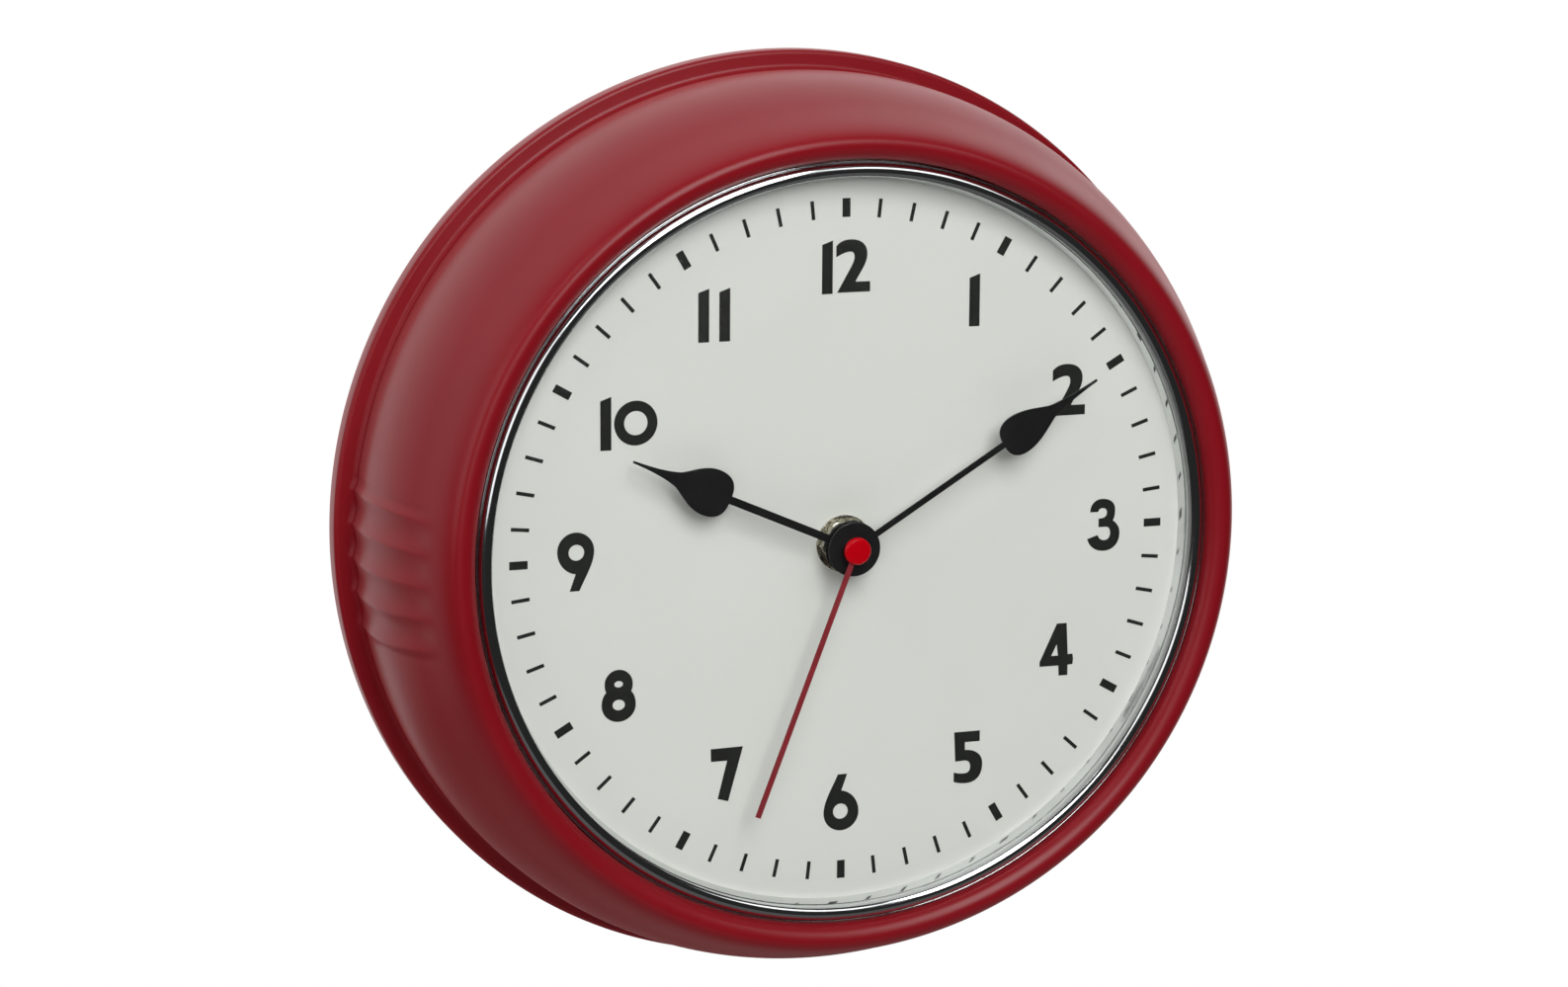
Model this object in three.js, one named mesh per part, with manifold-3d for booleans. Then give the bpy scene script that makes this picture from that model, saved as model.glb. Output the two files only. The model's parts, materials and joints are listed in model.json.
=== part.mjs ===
// Retro wall clock: a spun steel case with a chrome bezel and a domed lens, a printed dial, three hands,
// and a battery quartz movement with its whole gear train, closed by a rear cover with a keyhole hanger.
// Millimetres, +Z up. The clock faces -Y, its axis is the Y axis, and the wall is the plane y = 0.

import * as THREE from "three";
import * as BufferGeometryUtils from "three/addons/utils/BufferGeometryUtils.js";
import Module from "manifold-3d";

const wasm = await Module();
wasm.setup();

// ---------------------------------------------------------------- driving dimensions

// Clearances that the fits below are made with.
const RUN = 0.08; // radial play of a shaft in its bearing
const SEAT = 0.05; // face play between pieces that rest on each other
const SLIP = 0.3; // radial play of a piece dropped into a round recess
const WHEEL_GAP = 0.5; // axial gap between neighbouring wheels

// Case
const CASE_DEPTH = 61; // wall to the crest of the front roll
const CREST_R = 101.6; // from the axis to the crest of the front roll
const SIDE_BULGE = 13.4; // how far the side stands outside the crest
const FLANGE_OVERHANG = 5; // how far the flange stands outside the side
const FLANGE_WIDTH = 6.4;
const LIP_ROLL = 4; // radius of the roll's inner half
const SHEET = 1;
const SIDE_LENGTH = 18; // straight part of the side, forward of the flange
const BACK_LIP = 5; // flat rim turned inwards against the wall
const RIB_COUNT = 5;
const RIB_PITCH = 4.35; // degrees between neighbouring ribs
const RIB_HEIGHT = 1;
const RIB_LENGTH = 28;
const PLAIN_STEPS = 20; // facets in each half of the case that has no ribs

// Front
const DIAL_DEPTH = 9; // front roll's crest to the dial's front face
const DIAL_THICK = 0.8;
const LEDGE_WIDTH = 8;
const BEZEL_WIDTH = 3.9;
const BEZEL_SINK = 4.4; // front roll's crest to the bezel's flat back
const INNER_RING_SLOPE = 1.5; // how far the inner ring opens towards the front
const LENS_THICK = 1.8;
const LENS_CLEAR = 0.7; // least room between the hands and the lens
const LENS_POWER = 3; // 2 is a round dome, more is flatter in the middle and steeper at the edge
const GASKET_THICK = 0.6;
const ROUND_STEPS = 40;

// Hands: heights over the dial, outlines along the hand
const HOUR_HEIGHT = 5.2;
const MINUTE_HEIGHT = 7.4;
const SECOND_HEIGHT = 9;
const CAP_TOP = 11;
const HAND_THICK = 0.5;
const HUB_R = 6.9;
const CAP_R = 3.45;
const HOUR_HAND = { tip: 62.5, root: 35, belly: 40.5, halfBelly: 6, halfStem: 1.02, angle: 293.8 };
const MINUTE_HAND = { tip: 76.3, root: 46.8, belly: 51.7, halfBelly: 5.2, halfStem: 0.8, angle: 58.8 };
const SECOND_HAND = { tip: 71.6, halfWidth: 0.7, angle: 201.1 };
const HAND_TIP_HALF = 0.3;

// Movement
const WASHER_THICK = 1;
const BUSH_R = 4;
const BUSH_LENGTH = 5.6; // threaded length in front of the movement's face
const NUT_R = 7;
const NUT_THICK = 2.2;
const BRASS_THICK = 0.5;
const BRASS_R = 7.3;
const MOVEMENT_WIDTH = 56;
const DIVIDER = 1; // wall between the wheels and the battery bay
const COIL_ROOM = 0.6;
const MOVEMENT_WALL = 1.4;
const WHEEL_THICK = 0.9;
const PLATE_THICK = 1.2;
const SECOND_R = 0.6;
const MINUTE_PIPE_R = 1.35;
const HOUR_PIPE_R = 2.3;
const PIVOT_R = 0.4;
const ARBOR_R = 0.8;
const COIL_R = 2.6;
const MAGNET_R = 2.6;
const MAGNET_LENGTH = 1.7;
const STATOR_THICK = 1;
const STATOR_HALF = 4.2; // half the width of the bar round the rotor
const COIL_HALF = 10.5;
const CONTACT_THICK = 0.25;
const SPRING_ROOM = 1.8; // length of the pressed spring behind the cell
const BATTERY_R = 7.2;
const BATTERY_LENGTH = 50.4;
const KNOB_R = 5.5;
const KNOB_HEIGHT = 6;
const KNOB_SHAFT_R = 1.2;

// Gear pairs: the wheel's teeth, the pinion's teeth and the module of the wheel they drive
const SECOND_TO_THIRD = { pinion: 6, wheel: 45 };
const THIRD_TO_CENTRE = { pinion: 6, wheel: 48 };
const CANNON_TO_MOTION = { pinion: 10, wheel: 30 };
const MOTION_TO_HOUR = { pinion: 8, wheel: 32 };
const ROTOR_TO_INTER = { pinion: 6, wheel: 36 };
const INTER_TO_SECOND = { pinion: 8, wheel: 40 };
const KNOB_TEETH = 16;
const THIRD_DISTANCE = 12.2;
const MOTION_DISTANCE = 9.6;
const MESH_PLAY = 0.5; // extra teeth that the distance of a pair is worked out with
const ADDENDUM = 0.75; // tooth height over the pitch circle, in modules
const INTER_DISTANCE = 10.8;
const ROTOR_DISTANCE = 10.1;
const THIRD_ANGLE = 150; // degrees from +X towards +Z, seen from the front
const MOTION_ANGLE = 30;
const KNOB_ANGLE = 0; // from the motion wheel's axis
const INTER_ANGLE = 33.3;
const ROTOR_ANGLE = 127; // from the intermediate wheel's axis

// Back
const COVER_THICK = 1.6;
const COVER_RECESS = 3; // the cover's rear face stays this far off the wall
const WINDOW_SIDE = 70;
const LUG_WIDTH = 12;
const LUG_LENGTH = 11;
const LUG_DEPTH = 14;
const LUG_SHEET = 1.2;
const SCREW_R = 1.5;
const SCREW_HEAD_R = 2.9;
const SCREW_HEAD = 1.6;
const SCREW_LENGTH = 6;
const HANGER_Z = 84;
const HANGER_WIDTH = 42;
const HANGER_HEIGHT = 28;
const HANGER_THICK = 1.2;
const KEYHOLE_R = 4.8;
const KEYHOLE_SLOT = 2.6; // half width of the narrow part
const KEYHOLE_RISE = 8;
const RIVET_R = 1.6;

// ---------------------------------------------------------------- geometry helpers

const TAU = Math.PI * 2;
const rad = (degrees) => (degrees * Math.PI) / 180;
const polar = (angle, distance) => {
  return new THREE.Vector2(distance * Math.cos(rad(angle)), distance * Math.sin(rad(angle)));
};

/** Six times the signed volume of a triangle mesh, to see which way its faces point. */
function signedVolume(geometry) {
  const solid = geometry.index ? geometry.toNonIndexed() : geometry;
  const position = solid.getAttribute("position");
  const a = new THREE.Vector3();
  const b = new THREE.Vector3();
  const c = new THREE.Vector3();
  let sum = 0;
  for (let i = 0; i < position.count; i += 3) {
    a.fromBufferAttribute(position, i);
    b.fromBufferAttribute(position, i + 1);
    c.fromBufferAttribute(position, i + 2);
    sum += a.dot(b.cross(c));
  }
  return sum;
}

/** Merge shared vertices and turn the faces outwards. */
function closed(geometry) {
  geometry.deleteAttribute("normal");
  geometry.deleteAttribute("uv");
  const merged = BufferGeometryUtils.mergeVertices(geometry, 1e-5);
  const kept = [];
  const index = merged.index.array;
  for (let i = 0; i < index.length; i += 3) {
    const [p, q, r] = [index[i], index[i + 1], index[i + 2]];
    if (p !== q && q !== r && r !== p) kept.push(p, q, r);
  }
  merged.setIndex(kept);
  if (signedVolume(merged) < 0) {
    for (let i = 0; i < kept.length; i += 3) [kept[i], kept[i + 1]] = [kept[i + 1], kept[i]];
    merged.setIndex(kept);
  }
  return merged;
}

/** A closed geometry as a solid that can be joined and cut. */
function solid(geometry) {
  const body = closed(geometry);
  const vertProperties = new Float32Array(body.getAttribute("position").array);
  const triVerts = new Uint32Array(body.index.array);
  return new wasm.Manifold(new wasm.Mesh({ numProp: 3, vertProperties, triVerts }));
}

/** A solid back as a geometry. */
function geometryOf(body) {
  const mesh = body.getMesh();
  const geometry = new THREE.BufferGeometry();
  geometry.setAttribute("position", new THREE.BufferAttribute(new Float32Array(mesh.vertProperties), 3));
  geometry.setIndex(Array.from(mesh.triVerts));
  return geometry;
}

const join = (first, ...others) => others.reduce((sum, other) => sum.add(other), first);
const cut = (first, ...others) => others.reduce((rest, other) => rest.subtract(other), first);

/** A closed profile of [radius, y] pairs turned round the Y axis, moved to (x, z). */
function turned(profile, steps, at = new THREE.Vector2()) {
  const points = profile.map(([r, y]) => new THREE.Vector2(r, y));
  const geometry = new THREE.LatheGeometry(points, steps);
  geometry.translate(at.x, 0, at.y);
  return geometry;
}

/** A plain disc or rod round the Y axis. */
function rod(radius, front, back, steps, at) {
  return turned([[0, front], [radius, front], [radius, back], [0, back]], steps, at);
}

/** A ring round the Y axis. */
function ring(inner, outer, front, back, steps, at) {
  const profile = [[inner, front], [outer, front], [outer, back], [inner, back], [inner, front]];
  return turned(profile, steps, at);
}

/** A flat outline in X and Z, given a thickness along Y. */
function plate(shape, front, back, curveSegments = 6) {
  const options = { depth: back - front, bevelEnabled: false, curveSegments };
  const geometry = new THREE.ExtrudeGeometry(shape, options);
  geometry.rotateX(Math.PI / 2);
  geometry.translate(0, back, 0);
  return geometry;
}

/** A rectangle with round corners, between two corners. */
function roundedRectangle(x0, z0, x1, z1, radius) {
  const shape = new THREE.Shape();
  shape.moveTo(x0 + radius, z0);
  shape.lineTo(x1 - radius, z0);
  shape.absarc(x1 - radius, z0 + radius, radius, -Math.PI / 2, 0);
  shape.lineTo(x1, z1 - radius);
  shape.absarc(x1 - radius, z1 - radius, radius, 0, Math.PI / 2);
  shape.lineTo(x0 + radius, z1);
  shape.absarc(x0 + radius, z1 - radius, radius, Math.PI / 2, Math.PI);
  shape.lineTo(x0, z0 + radius);
  shape.absarc(x0 + radius, z0 + radius, radius, Math.PI, Math.PI * 1.5);
  return shape;
}

/** A box between two corners. */
function block(x0, y0, z0, x1, y1, z1) {
  const geometry = new THREE.BoxGeometry(x1 - x0, y1 - y0, z1 - z0);
  geometry.translate((x0 + x1) / 2, (y0 + y1) / 2, (z0 + z1) / 2);
  return geometry;
}

/** Points on an arc, angles in degrees. */
function arcPoints(x, y, radius, from, to, steps) {
  const points = [];
  for (let i = 0; i <= steps; i += 1) {
    const angle = rad(from + ((to - from) * i) / steps);
    points.push([x + radius * Math.cos(angle), y + radius * Math.sin(angle)]);
  }
  return points;
}

/** Points on a cubic curve given by four control points. */
function curvePoints(a, b, c, d, steps) {
  const curve = new THREE.CubicBezierCurve(...[a, b, c, d].map(([x, y]) => new THREE.Vector2(x, y)));
  return curve.getPoints(steps).map((point) => [point.x, point.y]);
}

/** The same line set off to its left by a distance, with mitred corners. */
function offsetLine(points, distance) {
  const line = points.map(([x, y]) => new THREE.Vector2(x, y));
  return line.map((point, i) => {
    const before = i > 0 ? point.clone().sub(line[i - 1]).normalize() : null;
    const after = i < line.length - 1 ? line[i + 1].clone().sub(point).normalize() : null;
    const first = before ?? after;
    const second = after ?? before;
    const normal = new THREE.Vector2(-first.y - second.y, first.x + second.x).normalize();
    const reach = distance / Math.max(0.3, normal.dot(new THREE.Vector2(-first.y, first.x)));
    return [point.x + normal.x * reach, point.y + normal.y * reach];
  });
}

// ---------------------------------------------------------------- gears

/** The outline of a gear: pointed gaps, flat-topped teeth, the first tooth at the given angle. */
function gearShape(teeth, module, firstTooth) {
  const pitchR = (teeth * module) / 2;
  const tipR = pitchR + ADDENDUM * module;
  const rootR = pitchR - 1.2 * module;
  const tipHalf = (0.16 * module) / tipR;
  const step = TAU / teeth;
  const shape = new THREE.Shape();
  for (let i = 0; i < teeth; i += 1) {
    const middle = rad(firstTooth) + i * step;
    const corners = [
      [tipR, middle - tipHalf],
      [tipR, middle + tipHalf],
      [rootR, middle + step / 2],
    ];
    for (const [radius, angle] of corners) {
      const x = radius * Math.cos(angle);
      const y = radius * Math.sin(angle);
      if (shape.curves.length === 0 && shape.currentPoint.lengthSq() === 0) shape.moveTo(x, y);
      else shape.lineTo(x, y);
    }
  }
  return shape;
}

/** A toothed disc at a place, solid to its centre. */
function gear(teeth, module, firstTooth, front, at = new THREE.Vector2()) {
  const geometry = plate(gearShape(teeth, module, firstTooth), front, front + WHEEL_THICK);
  geometry.translate(at.x, 0, at.y);
  return solid(geometry);
}

/** The driving gear of a pair, with a tooth pointing along the line between the two axes. */
function driver(teeth, module, direction, front, at) {
  return gear(teeth, module, direction, front, at);
}

/** The driven gear of a pair, with a gap pointing back along the line between the two axes. */
function driven(teeth, module, direction, front, at) {
  return gear(teeth, module, direction + 180 + 180 / teeth, front, at);
}

/** The module of a pair of gears that run a given distance apart, with a little play between the teeth. */
function moduleOf(pair, distance) {
  return (2 * distance) / (pair.wheel + pair.pinion + MESH_PLAY);
}

// ---------------------------------------------------------------- places worked out from the dimensions

const CREST_Y = -CASE_DEPTH;
const SIDE_R = CREST_R + SIDE_BULGE;
const FLANGE_R = SIDE_R + FLANGE_OVERHANG;
const DIAL_Y = CREST_Y + DIAL_DEPTH;
const BEZEL_BACK_Y = CREST_Y + BEZEL_SINK;
const LENS_EDGE_Y = BEZEL_BACK_Y + LENS_THICK + SEAT; // the back of the lens's edge
const LIP_R = CREST_R - LIP_ROLL;
const LEDGE_FRONT = DIAL_Y + DIAL_THICK + SEAT;
const RECESS_R = LIP_R - SLIP;
const BEZEL_OUTER_R = RECESS_R;
const BEZEL_INNER_R = BEZEL_OUTER_R - BEZEL_WIDTH;
const RING_BACK_R = BEZEL_INNER_R - INNER_RING_SLOPE;

const MOVEMENT_FRONT = DIAL_Y + DIAL_THICK + WASHER_THICK + 2 * SEAT;
const INSIDE_FRONT = MOVEMENT_FRONT + MOVEMENT_WALL;
const HOUR_WHEEL_Y = INSIDE_FRONT + WHEEL_GAP;
const MOTION_WHEEL_Y = HOUR_WHEEL_Y + WHEEL_THICK + WHEEL_GAP;
const CENTRE_WHEEL_Y = MOTION_WHEEL_Y + WHEEL_THICK + WHEEL_GAP;
const THIRD_WHEEL_Y = CENTRE_WHEEL_Y + WHEEL_THICK + WHEEL_GAP;
const PLATE_Y = THIRD_WHEEL_Y + WHEEL_THICK + WHEEL_GAP;
const SECOND_WHEEL_Y = PLATE_Y + PLATE_THICK + WHEEL_GAP;
const INTER_WHEEL_Y = SECOND_WHEEL_Y + WHEEL_THICK + WHEEL_GAP;
const MAGNET_Y = INTER_WHEEL_Y + WHEEL_THICK + WHEEL_GAP;
const STATOR_Y = MAGNET_Y + (MAGNET_LENGTH - STATOR_THICK) / 2;
const CORE_Y = STATOR_Y + STATOR_THICK + SEAT;
const COIL_Y = CORE_Y + STATOR_THICK / 2;
const INSIDE_BACK = COIL_Y + COIL_R + WHEEL_GAP;
const MOVEMENT_BACK = INSIDE_BACK + MOVEMENT_WALL;
const BOSS_LENGTH = 2.2;

const CENTRE = new THREE.Vector2();
const THIRD_AT = polar(THIRD_ANGLE, THIRD_DISTANCE);
const MOTION_AT = polar(MOTION_ANGLE, MOTION_DISTANCE);
const MOTION_MODULE = moduleOf(CANNON_TO_MOTION, MOTION_DISTANCE);
const KNOB_PAIR = { pinion: KNOB_TEETH, wheel: CANNON_TO_MOTION.wheel };
const KNOB_DISTANCE = (MOTION_MODULE * (KNOB_PAIR.pinion + KNOB_PAIR.wheel + MESH_PLAY)) / 2;
const KNOB_AT = MOTION_AT.clone().add(polar(KNOB_ANGLE, KNOB_DISTANCE));
const INTER_AT = polar(INTER_ANGLE, INTER_DISTANCE);
const ROTOR_AT = INTER_AT.clone().add(polar(ROTOR_ANGLE, ROTOR_DISTANCE));

// The movement's box: the coil lies over the stator, and the battery bay under the centre wheel.
const COIL_AT = new THREE.Vector2(ROTOR_AT.x, ROTOR_AT.y + STATOR_HALF + SLIP + COIL_R);
const CENTRE_TIP_R = moduleOf(THIRD_TO_CENTRE, THIRD_DISTANCE) * (THIRD_TO_CENTRE.wheel / 2 + ADDENDUM);
const BAY_LENGTH = BATTERY_LENGTH + SPRING_ROOM + CONTACT_THICK;
const HALF_SIDE = Math.max(MOVEMENT_WIDTH / 2, BAY_LENGTH / 2 + MOVEMENT_WALL);
const MOVEMENT_TOP = COIL_AT.y + COIL_R + COIL_ROOM + MOVEMENT_WALL;
const BAY_TOP = -CENTRE_TIP_R - COIL_ROOM - DIVIDER;
const BATTERY_Z = BAY_TOP - SLIP - BATTERY_R;
const BATTERY_Y = INSIDE_FRONT + BATTERY_R + SLIP;
const MOVEMENT_BOTTOM = BATTERY_Z - BATTERY_R - SLIP - MOVEMENT_WALL;
const BATTERY_RIGHT = HALF_SIDE - MOVEMENT_WALL - CONTACT_THICK - 2 * SEAT;
const BATTERY_LEFT = BATTERY_RIGHT - BATTERY_LENGTH;

const COVER_BACK = -COVER_RECESS;
const COVER_FRONT = COVER_BACK - COVER_THICK;
const COVER_R = FLANGE_R - BACK_LIP - 2 * SLIP;
const LUG_OUTER = Math.sqrt((SIDE_R - SHEET - 2 * SLIP) ** 2 - (LUG_WIDTH / 2) ** 2);
const SCREW_CIRCLE = LUG_OUTER - LUG_SHEET - (LUG_LENGTH - LUG_SHEET) / 2;
const LUG_ANGLES = [45, 135, 225, 315];

// ---------------------------------------------------------------- case

/** The line that the case's visible face follows, from the dial ledge over the front roll to the wall. */
function caseLine() {
  const shoulderY = -FLANGE_WIDTH;
  const fillet = 1.5;
  const corner = 1.2;
  const sideFront = shoulderY - SIDE_LENGTH;
  const waist = [SIDE_R - 0.35 * (SIDE_R - CREST_R), sideFront + 0.545 * (CREST_Y - sideFront)];
  const rise = [2.57, 6.5];
  return [
    [LIP_R - LEDGE_WIDTH, LEDGE_FRONT],
    [LIP_R, LEDGE_FRONT],
    ...arcPoints(CREST_R, CREST_Y + LIP_ROLL, LIP_ROLL, 180, 270, 3),
    ...curvePoints(
      [CREST_R, CREST_Y],
      [CREST_R + 3.4, CREST_Y],
      [waist[0] - 1.4 * rise[0], waist[1] - 1.4 * rise[1]],
      waist,
      3,
    ).slice(1),
    ...curvePoints(
      waist,
      [waist[0] + rise[0], waist[1] + rise[1]],
      [SIDE_R, sideFront - 8],
      [SIDE_R, sideFront],
      3,
    ).slice(1),
    [SIDE_R, sideFront + 0.5 * SIDE_LENGTH],
    ...arcPoints(SIDE_R + fillet, shoulderY - fillet, fillet, 180, 90, 2),
    ...arcPoints(FLANGE_R - corner, shoulderY + corner, corner, 270, 360, 2),
    ...arcPoints(FLANGE_R - corner, -corner, corner, 0, 90, 1),
    [FLANGE_R - BACK_LIP, 0],
  ];
}

/** Angles round the case in degrees from +X: each rib's crest and foot, and even steps between. */
function caseAngles() {
  const half = (RIB_COUNT * RIB_PITCH) / 2;
  const angles = [];
  for (const side of [0, 180]) {
    for (let i = 0; i <= 2 * RIB_COUNT; i += 1) angles.push(side - half + (i * RIB_PITCH) / 2);
    const start = side + half;
    const span = 180 - 2 * half;
    for (let i = 1; i < PLAIN_STEPS; i += 1) angles.push(start + (span * i) / PLAIN_STEPS);
  }
  return angles;
}

/** How far a rib pushes the sheet out: most at the flange, nothing at its front end and between ribs. */
function ribHeight(index, y) {
  const isCrest = index % 2 === 1 && index < 2 * RIB_COUNT;
  const ahead = (-FLANGE_WIDTH - y) / RIB_LENGTH;
  if (!isCrest || ahead < 0 || ahead > 1) return 0;
  return RIB_HEIGHT * Math.cos((ahead * Math.PI) / 2);
}

/** The case: one sheet turned round the axis, its angles drawn together where the ribs are. */
function makeCaseShell() {
  const line = caseLine();
  const inner = offsetLine(line, SHEET);
  const profile = [...line, ...inner.reverse(), line[0]];
  const angles = caseAngles();
  const geometry = turned(profile, angles.length);
  const position = geometry.getAttribute("position");
  const half = angles.length / 2;
  for (let i = 0; i < position.count; i += 1) {
    const step = Math.floor(i / profile.length) % angles.length;
    const y = position.getY(i);
    const plainR = profile[i % profile.length][0];
    const isSide = plainR > SIDE_R - 5 * SHEET;
    const radius = plainR + (isSide ? ribHeight(step % half, y) : 0);
    position.setX(i, radius * Math.cos(rad(angles[step])));
    position.setZ(i, radius * Math.sin(rad(angles[step])));
  }
  return closed(geometry);
}

/** The chrome bezel: a half-round bead on a flat back, held in the case's front collar. */
function makeBezel() {
  const bead = BEZEL_WIDTH / 2;
  const middle = BEZEL_INNER_R + bead;
  const profile = [
    [BEZEL_INNER_R, BEZEL_BACK_Y],
    ...arcPoints(middle, BEZEL_BACK_Y - 0.3, bead, 180, 360, 6),
    [BEZEL_OUTER_R, BEZEL_BACK_Y],
    [BEZEL_INNER_R, BEZEL_BACK_Y],
  ];
  return closed(turned(profile, ROUND_STEPS));
}

/** The bright inner ring between dial and lens, with a step that the gasket and the lens sit in. */
function makeInnerRing() {
  const front = LENS_EDGE_Y + GASKET_THICK + 2 * SEAT;
  const profile = [
    [RING_BACK_R, DIAL_Y - SEAT],
    [BEZEL_INNER_R, front],
    [RECESS_R, front],
    [RECESS_R, DIAL_Y - SEAT],
    [RING_BACK_R, DIAL_Y - SEAT],
  ];
  return closed(turned(profile, ROUND_STEPS));
}

/** The rubber gasket under the lens's edge. */
function makeLensGasket() {
  const back = LENS_EDGE_Y + GASKET_THICK + SEAT;
  return closed(ring(BEZEL_INNER_R + SLIP, RECESS_R, back - GASKET_THICK, back, ROUND_STEPS));
}

/** How high the dome has to rise over its edge so that both long hands turn under it. */
function lensRise(domeR) {
  const reaches = [
    [SECOND_HAND.tip, SECOND_HEIGHT],
    [MINUTE_HAND.tip, MINUTE_HEIGHT],
    [CAP_R, CAP_TOP],
  ];
  const needed = reaches.map(([tip, height]) => {
    const top = DIAL_Y - height - HAND_THICK - LENS_CLEAR;
    return (LENS_EDGE_Y - top) / (1 - (tip / domeR) ** LENS_POWER);
  });
  return Math.max(...needed);
}

/** Points on the lens's dome, from the axis to its edge, over an edge at the given y. */
function domePoints(edgeY) {
  const domeR = BEZEL_INNER_R - SLIP;
  const rise = lensRise(domeR);
  const points = [];
  for (const share of [0, 0.3, 0.5, 0.68, 0.82, 0.92, 1]) {
    points.push([domeR * share, edgeY - rise * (1 - share ** LENS_POWER)]);
  }
  return points;
}

/** The domed lens: a flat edge under the bezel and a moulded dome inside it. */
function makeLens() {
  const back = LENS_EDGE_Y;
  const front = back - LENS_THICK;
  const profile = [...domePoints(back), [RECESS_R, back], [RECESS_R, front], ...domePoints(front).reverse()];
  return closed(turned(profile, ROUND_STEPS));
}

/** The dial: a thin printed disc with a hole for the movement's bush. */
function makeDial() {
  return closed(ring(BUSH_R + SLIP, RECESS_R, DIAL_Y, DIAL_Y + DIAL_THICK, ROUND_STEPS));
}

// ---------------------------------------------------------------- hands

/** A hand's outline, pointing up: a hub disc, a thin stem and a spade that draws out to a fine tip. */
function spadeShape(hand) {
  const { tip, root, belly, halfBelly, halfStem } = hand;
  const joinZ = Math.sqrt(HUB_R * HUB_R - halfStem * halfStem);
  const neck = belly + 0.42 * (tip - belly);
  const shape = new THREE.Shape();
  shape.moveTo(halfStem, joinZ);
  shape.lineTo(halfStem, root);
  shape.bezierCurveTo(halfBelly * 0.7, root, halfBelly, root + 0.35 * (belly - root), halfBelly, belly);
  shape.bezierCurveTo(halfBelly, belly + 4, halfBelly * 0.52, neck - 2.4, halfBelly * 0.33, neck);
  shape.bezierCurveTo(halfBelly * 0.18, neck + 2.6, HAND_TIP_HALF * 1.5, tip - 6, HAND_TIP_HALF, tip);
  shape.lineTo(-HAND_TIP_HALF, tip);
  shape.bezierCurveTo(-HAND_TIP_HALF * 1.5, tip - 6, -halfBelly * 0.18, neck + 2.6, -halfBelly * 0.33, neck);
  shape.bezierCurveTo(-halfBelly * 0.52, neck - 2.4, -halfBelly, belly + 4, -halfBelly, belly);
  shape.bezierCurveTo(-halfBelly, root + 0.35 * (belly - root), -halfBelly * 0.7, root, -halfStem, root);
  shape.lineTo(-halfStem, joinZ);
  const start = Math.atan2(joinZ, -halfStem);
  shape.absarc(0, 0, HUB_R, start, start + TAU - 2 * (start - Math.PI / 2));
  return shape;
}

/** Turn a geometry that points up to a clockwise angle, seen from the front. */
function pointed(geometry, angle) {
  geometry.rotateY(rad(angle));
  return geometry;
}

/** An hour or minute hand: its outline, a collet behind it and a bore for its pipe. */
function makeSpadeHand(hand, height, pipeR) {
  const back = DIAL_Y - height;
  const blade = solid(pointed(plate(spadeShape(hand), back - HAND_THICK, back, 5), hand.angle));
  const collet = solid(rod(pipeR + 0.9, back - HAND_THICK, back + 0.9, 16));
  const bore = solid(rod(pipeR + SEAT, back - 2, back + 2, 16));
  return geometryOf(cut(join(blade, collet), bore));
}

/** The second hand: a straight bar with a square end and a tube that grips the arbor. */
function makeSecondHand() {
  const back = DIAL_Y - SECOND_HEIGHT;
  const { tip, halfWidth, angle } = SECOND_HAND;
  const bar = solid(pointed(block(-halfWidth, back - HAND_THICK, 0, halfWidth, back, tip), angle));
  const hub = solid(rod(CAP_R - 0.8, back - HAND_THICK, back + 0.6, 16));
  const bore = solid(rod(SECOND_R + SEAT, back - 2, back + 2, 12));
  return geometryOf(cut(join(bar, hub), bore));
}

/** The red cap over the hands' centre, a shallow button that sits on the second hand. */
function makeHandCap() {
  const back = DIAL_Y - SECOND_HEIGHT - HAND_THICK - SEAT;
  const front = DIAL_Y - CAP_TOP;
  const profile = [[0, back], [CAP_R, back], [CAP_R, front + 0.5], [CAP_R - 0.5, front], [0, front]];
  return closed(turned(profile, 20));
}

// ---------------------------------------------------------------- movement: fixed pieces

/** The rubber washer between the movement and the dial. */
function makeBushWasher() {
  return closed(ring(BUSH_R + SLIP, 11, MOVEMENT_FRONT - SEAT - WASHER_THICK, MOVEMENT_FRONT - SEAT, 24));
}

/** The brass washer on the dial. */
function makeBrassWasher() {
  const back = DIAL_Y - SEAT;
  return closed(ring(BUSH_R + SLIP, BRASS_R, back - BRASS_THICK, back, 28));
}

/** The thin hexagon nut on the threaded bush, with chamfered corners. */
function makeHexNut() {
  const back = DIAL_Y - BRASS_THICK - 2 * SEAT;
  const hexagon = new THREE.Shape();
  for (let i = 0; i < 6; i += 1) {
    const corner = polar(60 * i, NUT_R);
    if (i === 0) hexagon.moveTo(corner.x, corner.y);
    else hexagon.lineTo(corner.x, corner.y);
  }
  const blank = solid(plate(hexagon, back - NUT_THICK, back));
  const chamfer = 0.5;
  const front = back - NUT_THICK;
  const wide = NUT_R + 0.1;
  const cone = [[0, front], [NUT_R - chamfer, front], [wide, front + chamfer], [wide, back], [0, back]];
  const bore = solid(rod(BUSH_R + RUN, back - 5, back + 2, 20));
  return geometryOf(cut(blank.intersect(solid(turned(cone, 24))), bore));
}

/** A round boss with a blind bearing hole, both along Y. */
function bossAndHole(at, from, to, open) {
  return {
    boss: solid(rod(PIVOT_R + 1, Math.min(from, to), Math.max(from, to), 10, at)),
    hole: solid(rod(PIVOT_R + RUN, Math.min(open, to), Math.max(open, to), 10, at)),
  };
}

/** The movement's square outline with round corners, drawn in by a distance. */
function movementOutline(inset) {
  const side = HALF_SIDE - inset;
  return roundedRectangle(-side, MOVEMENT_BOTTOM + inset, side, MOVEMENT_TOP - inset, 3 - inset);
}

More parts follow.
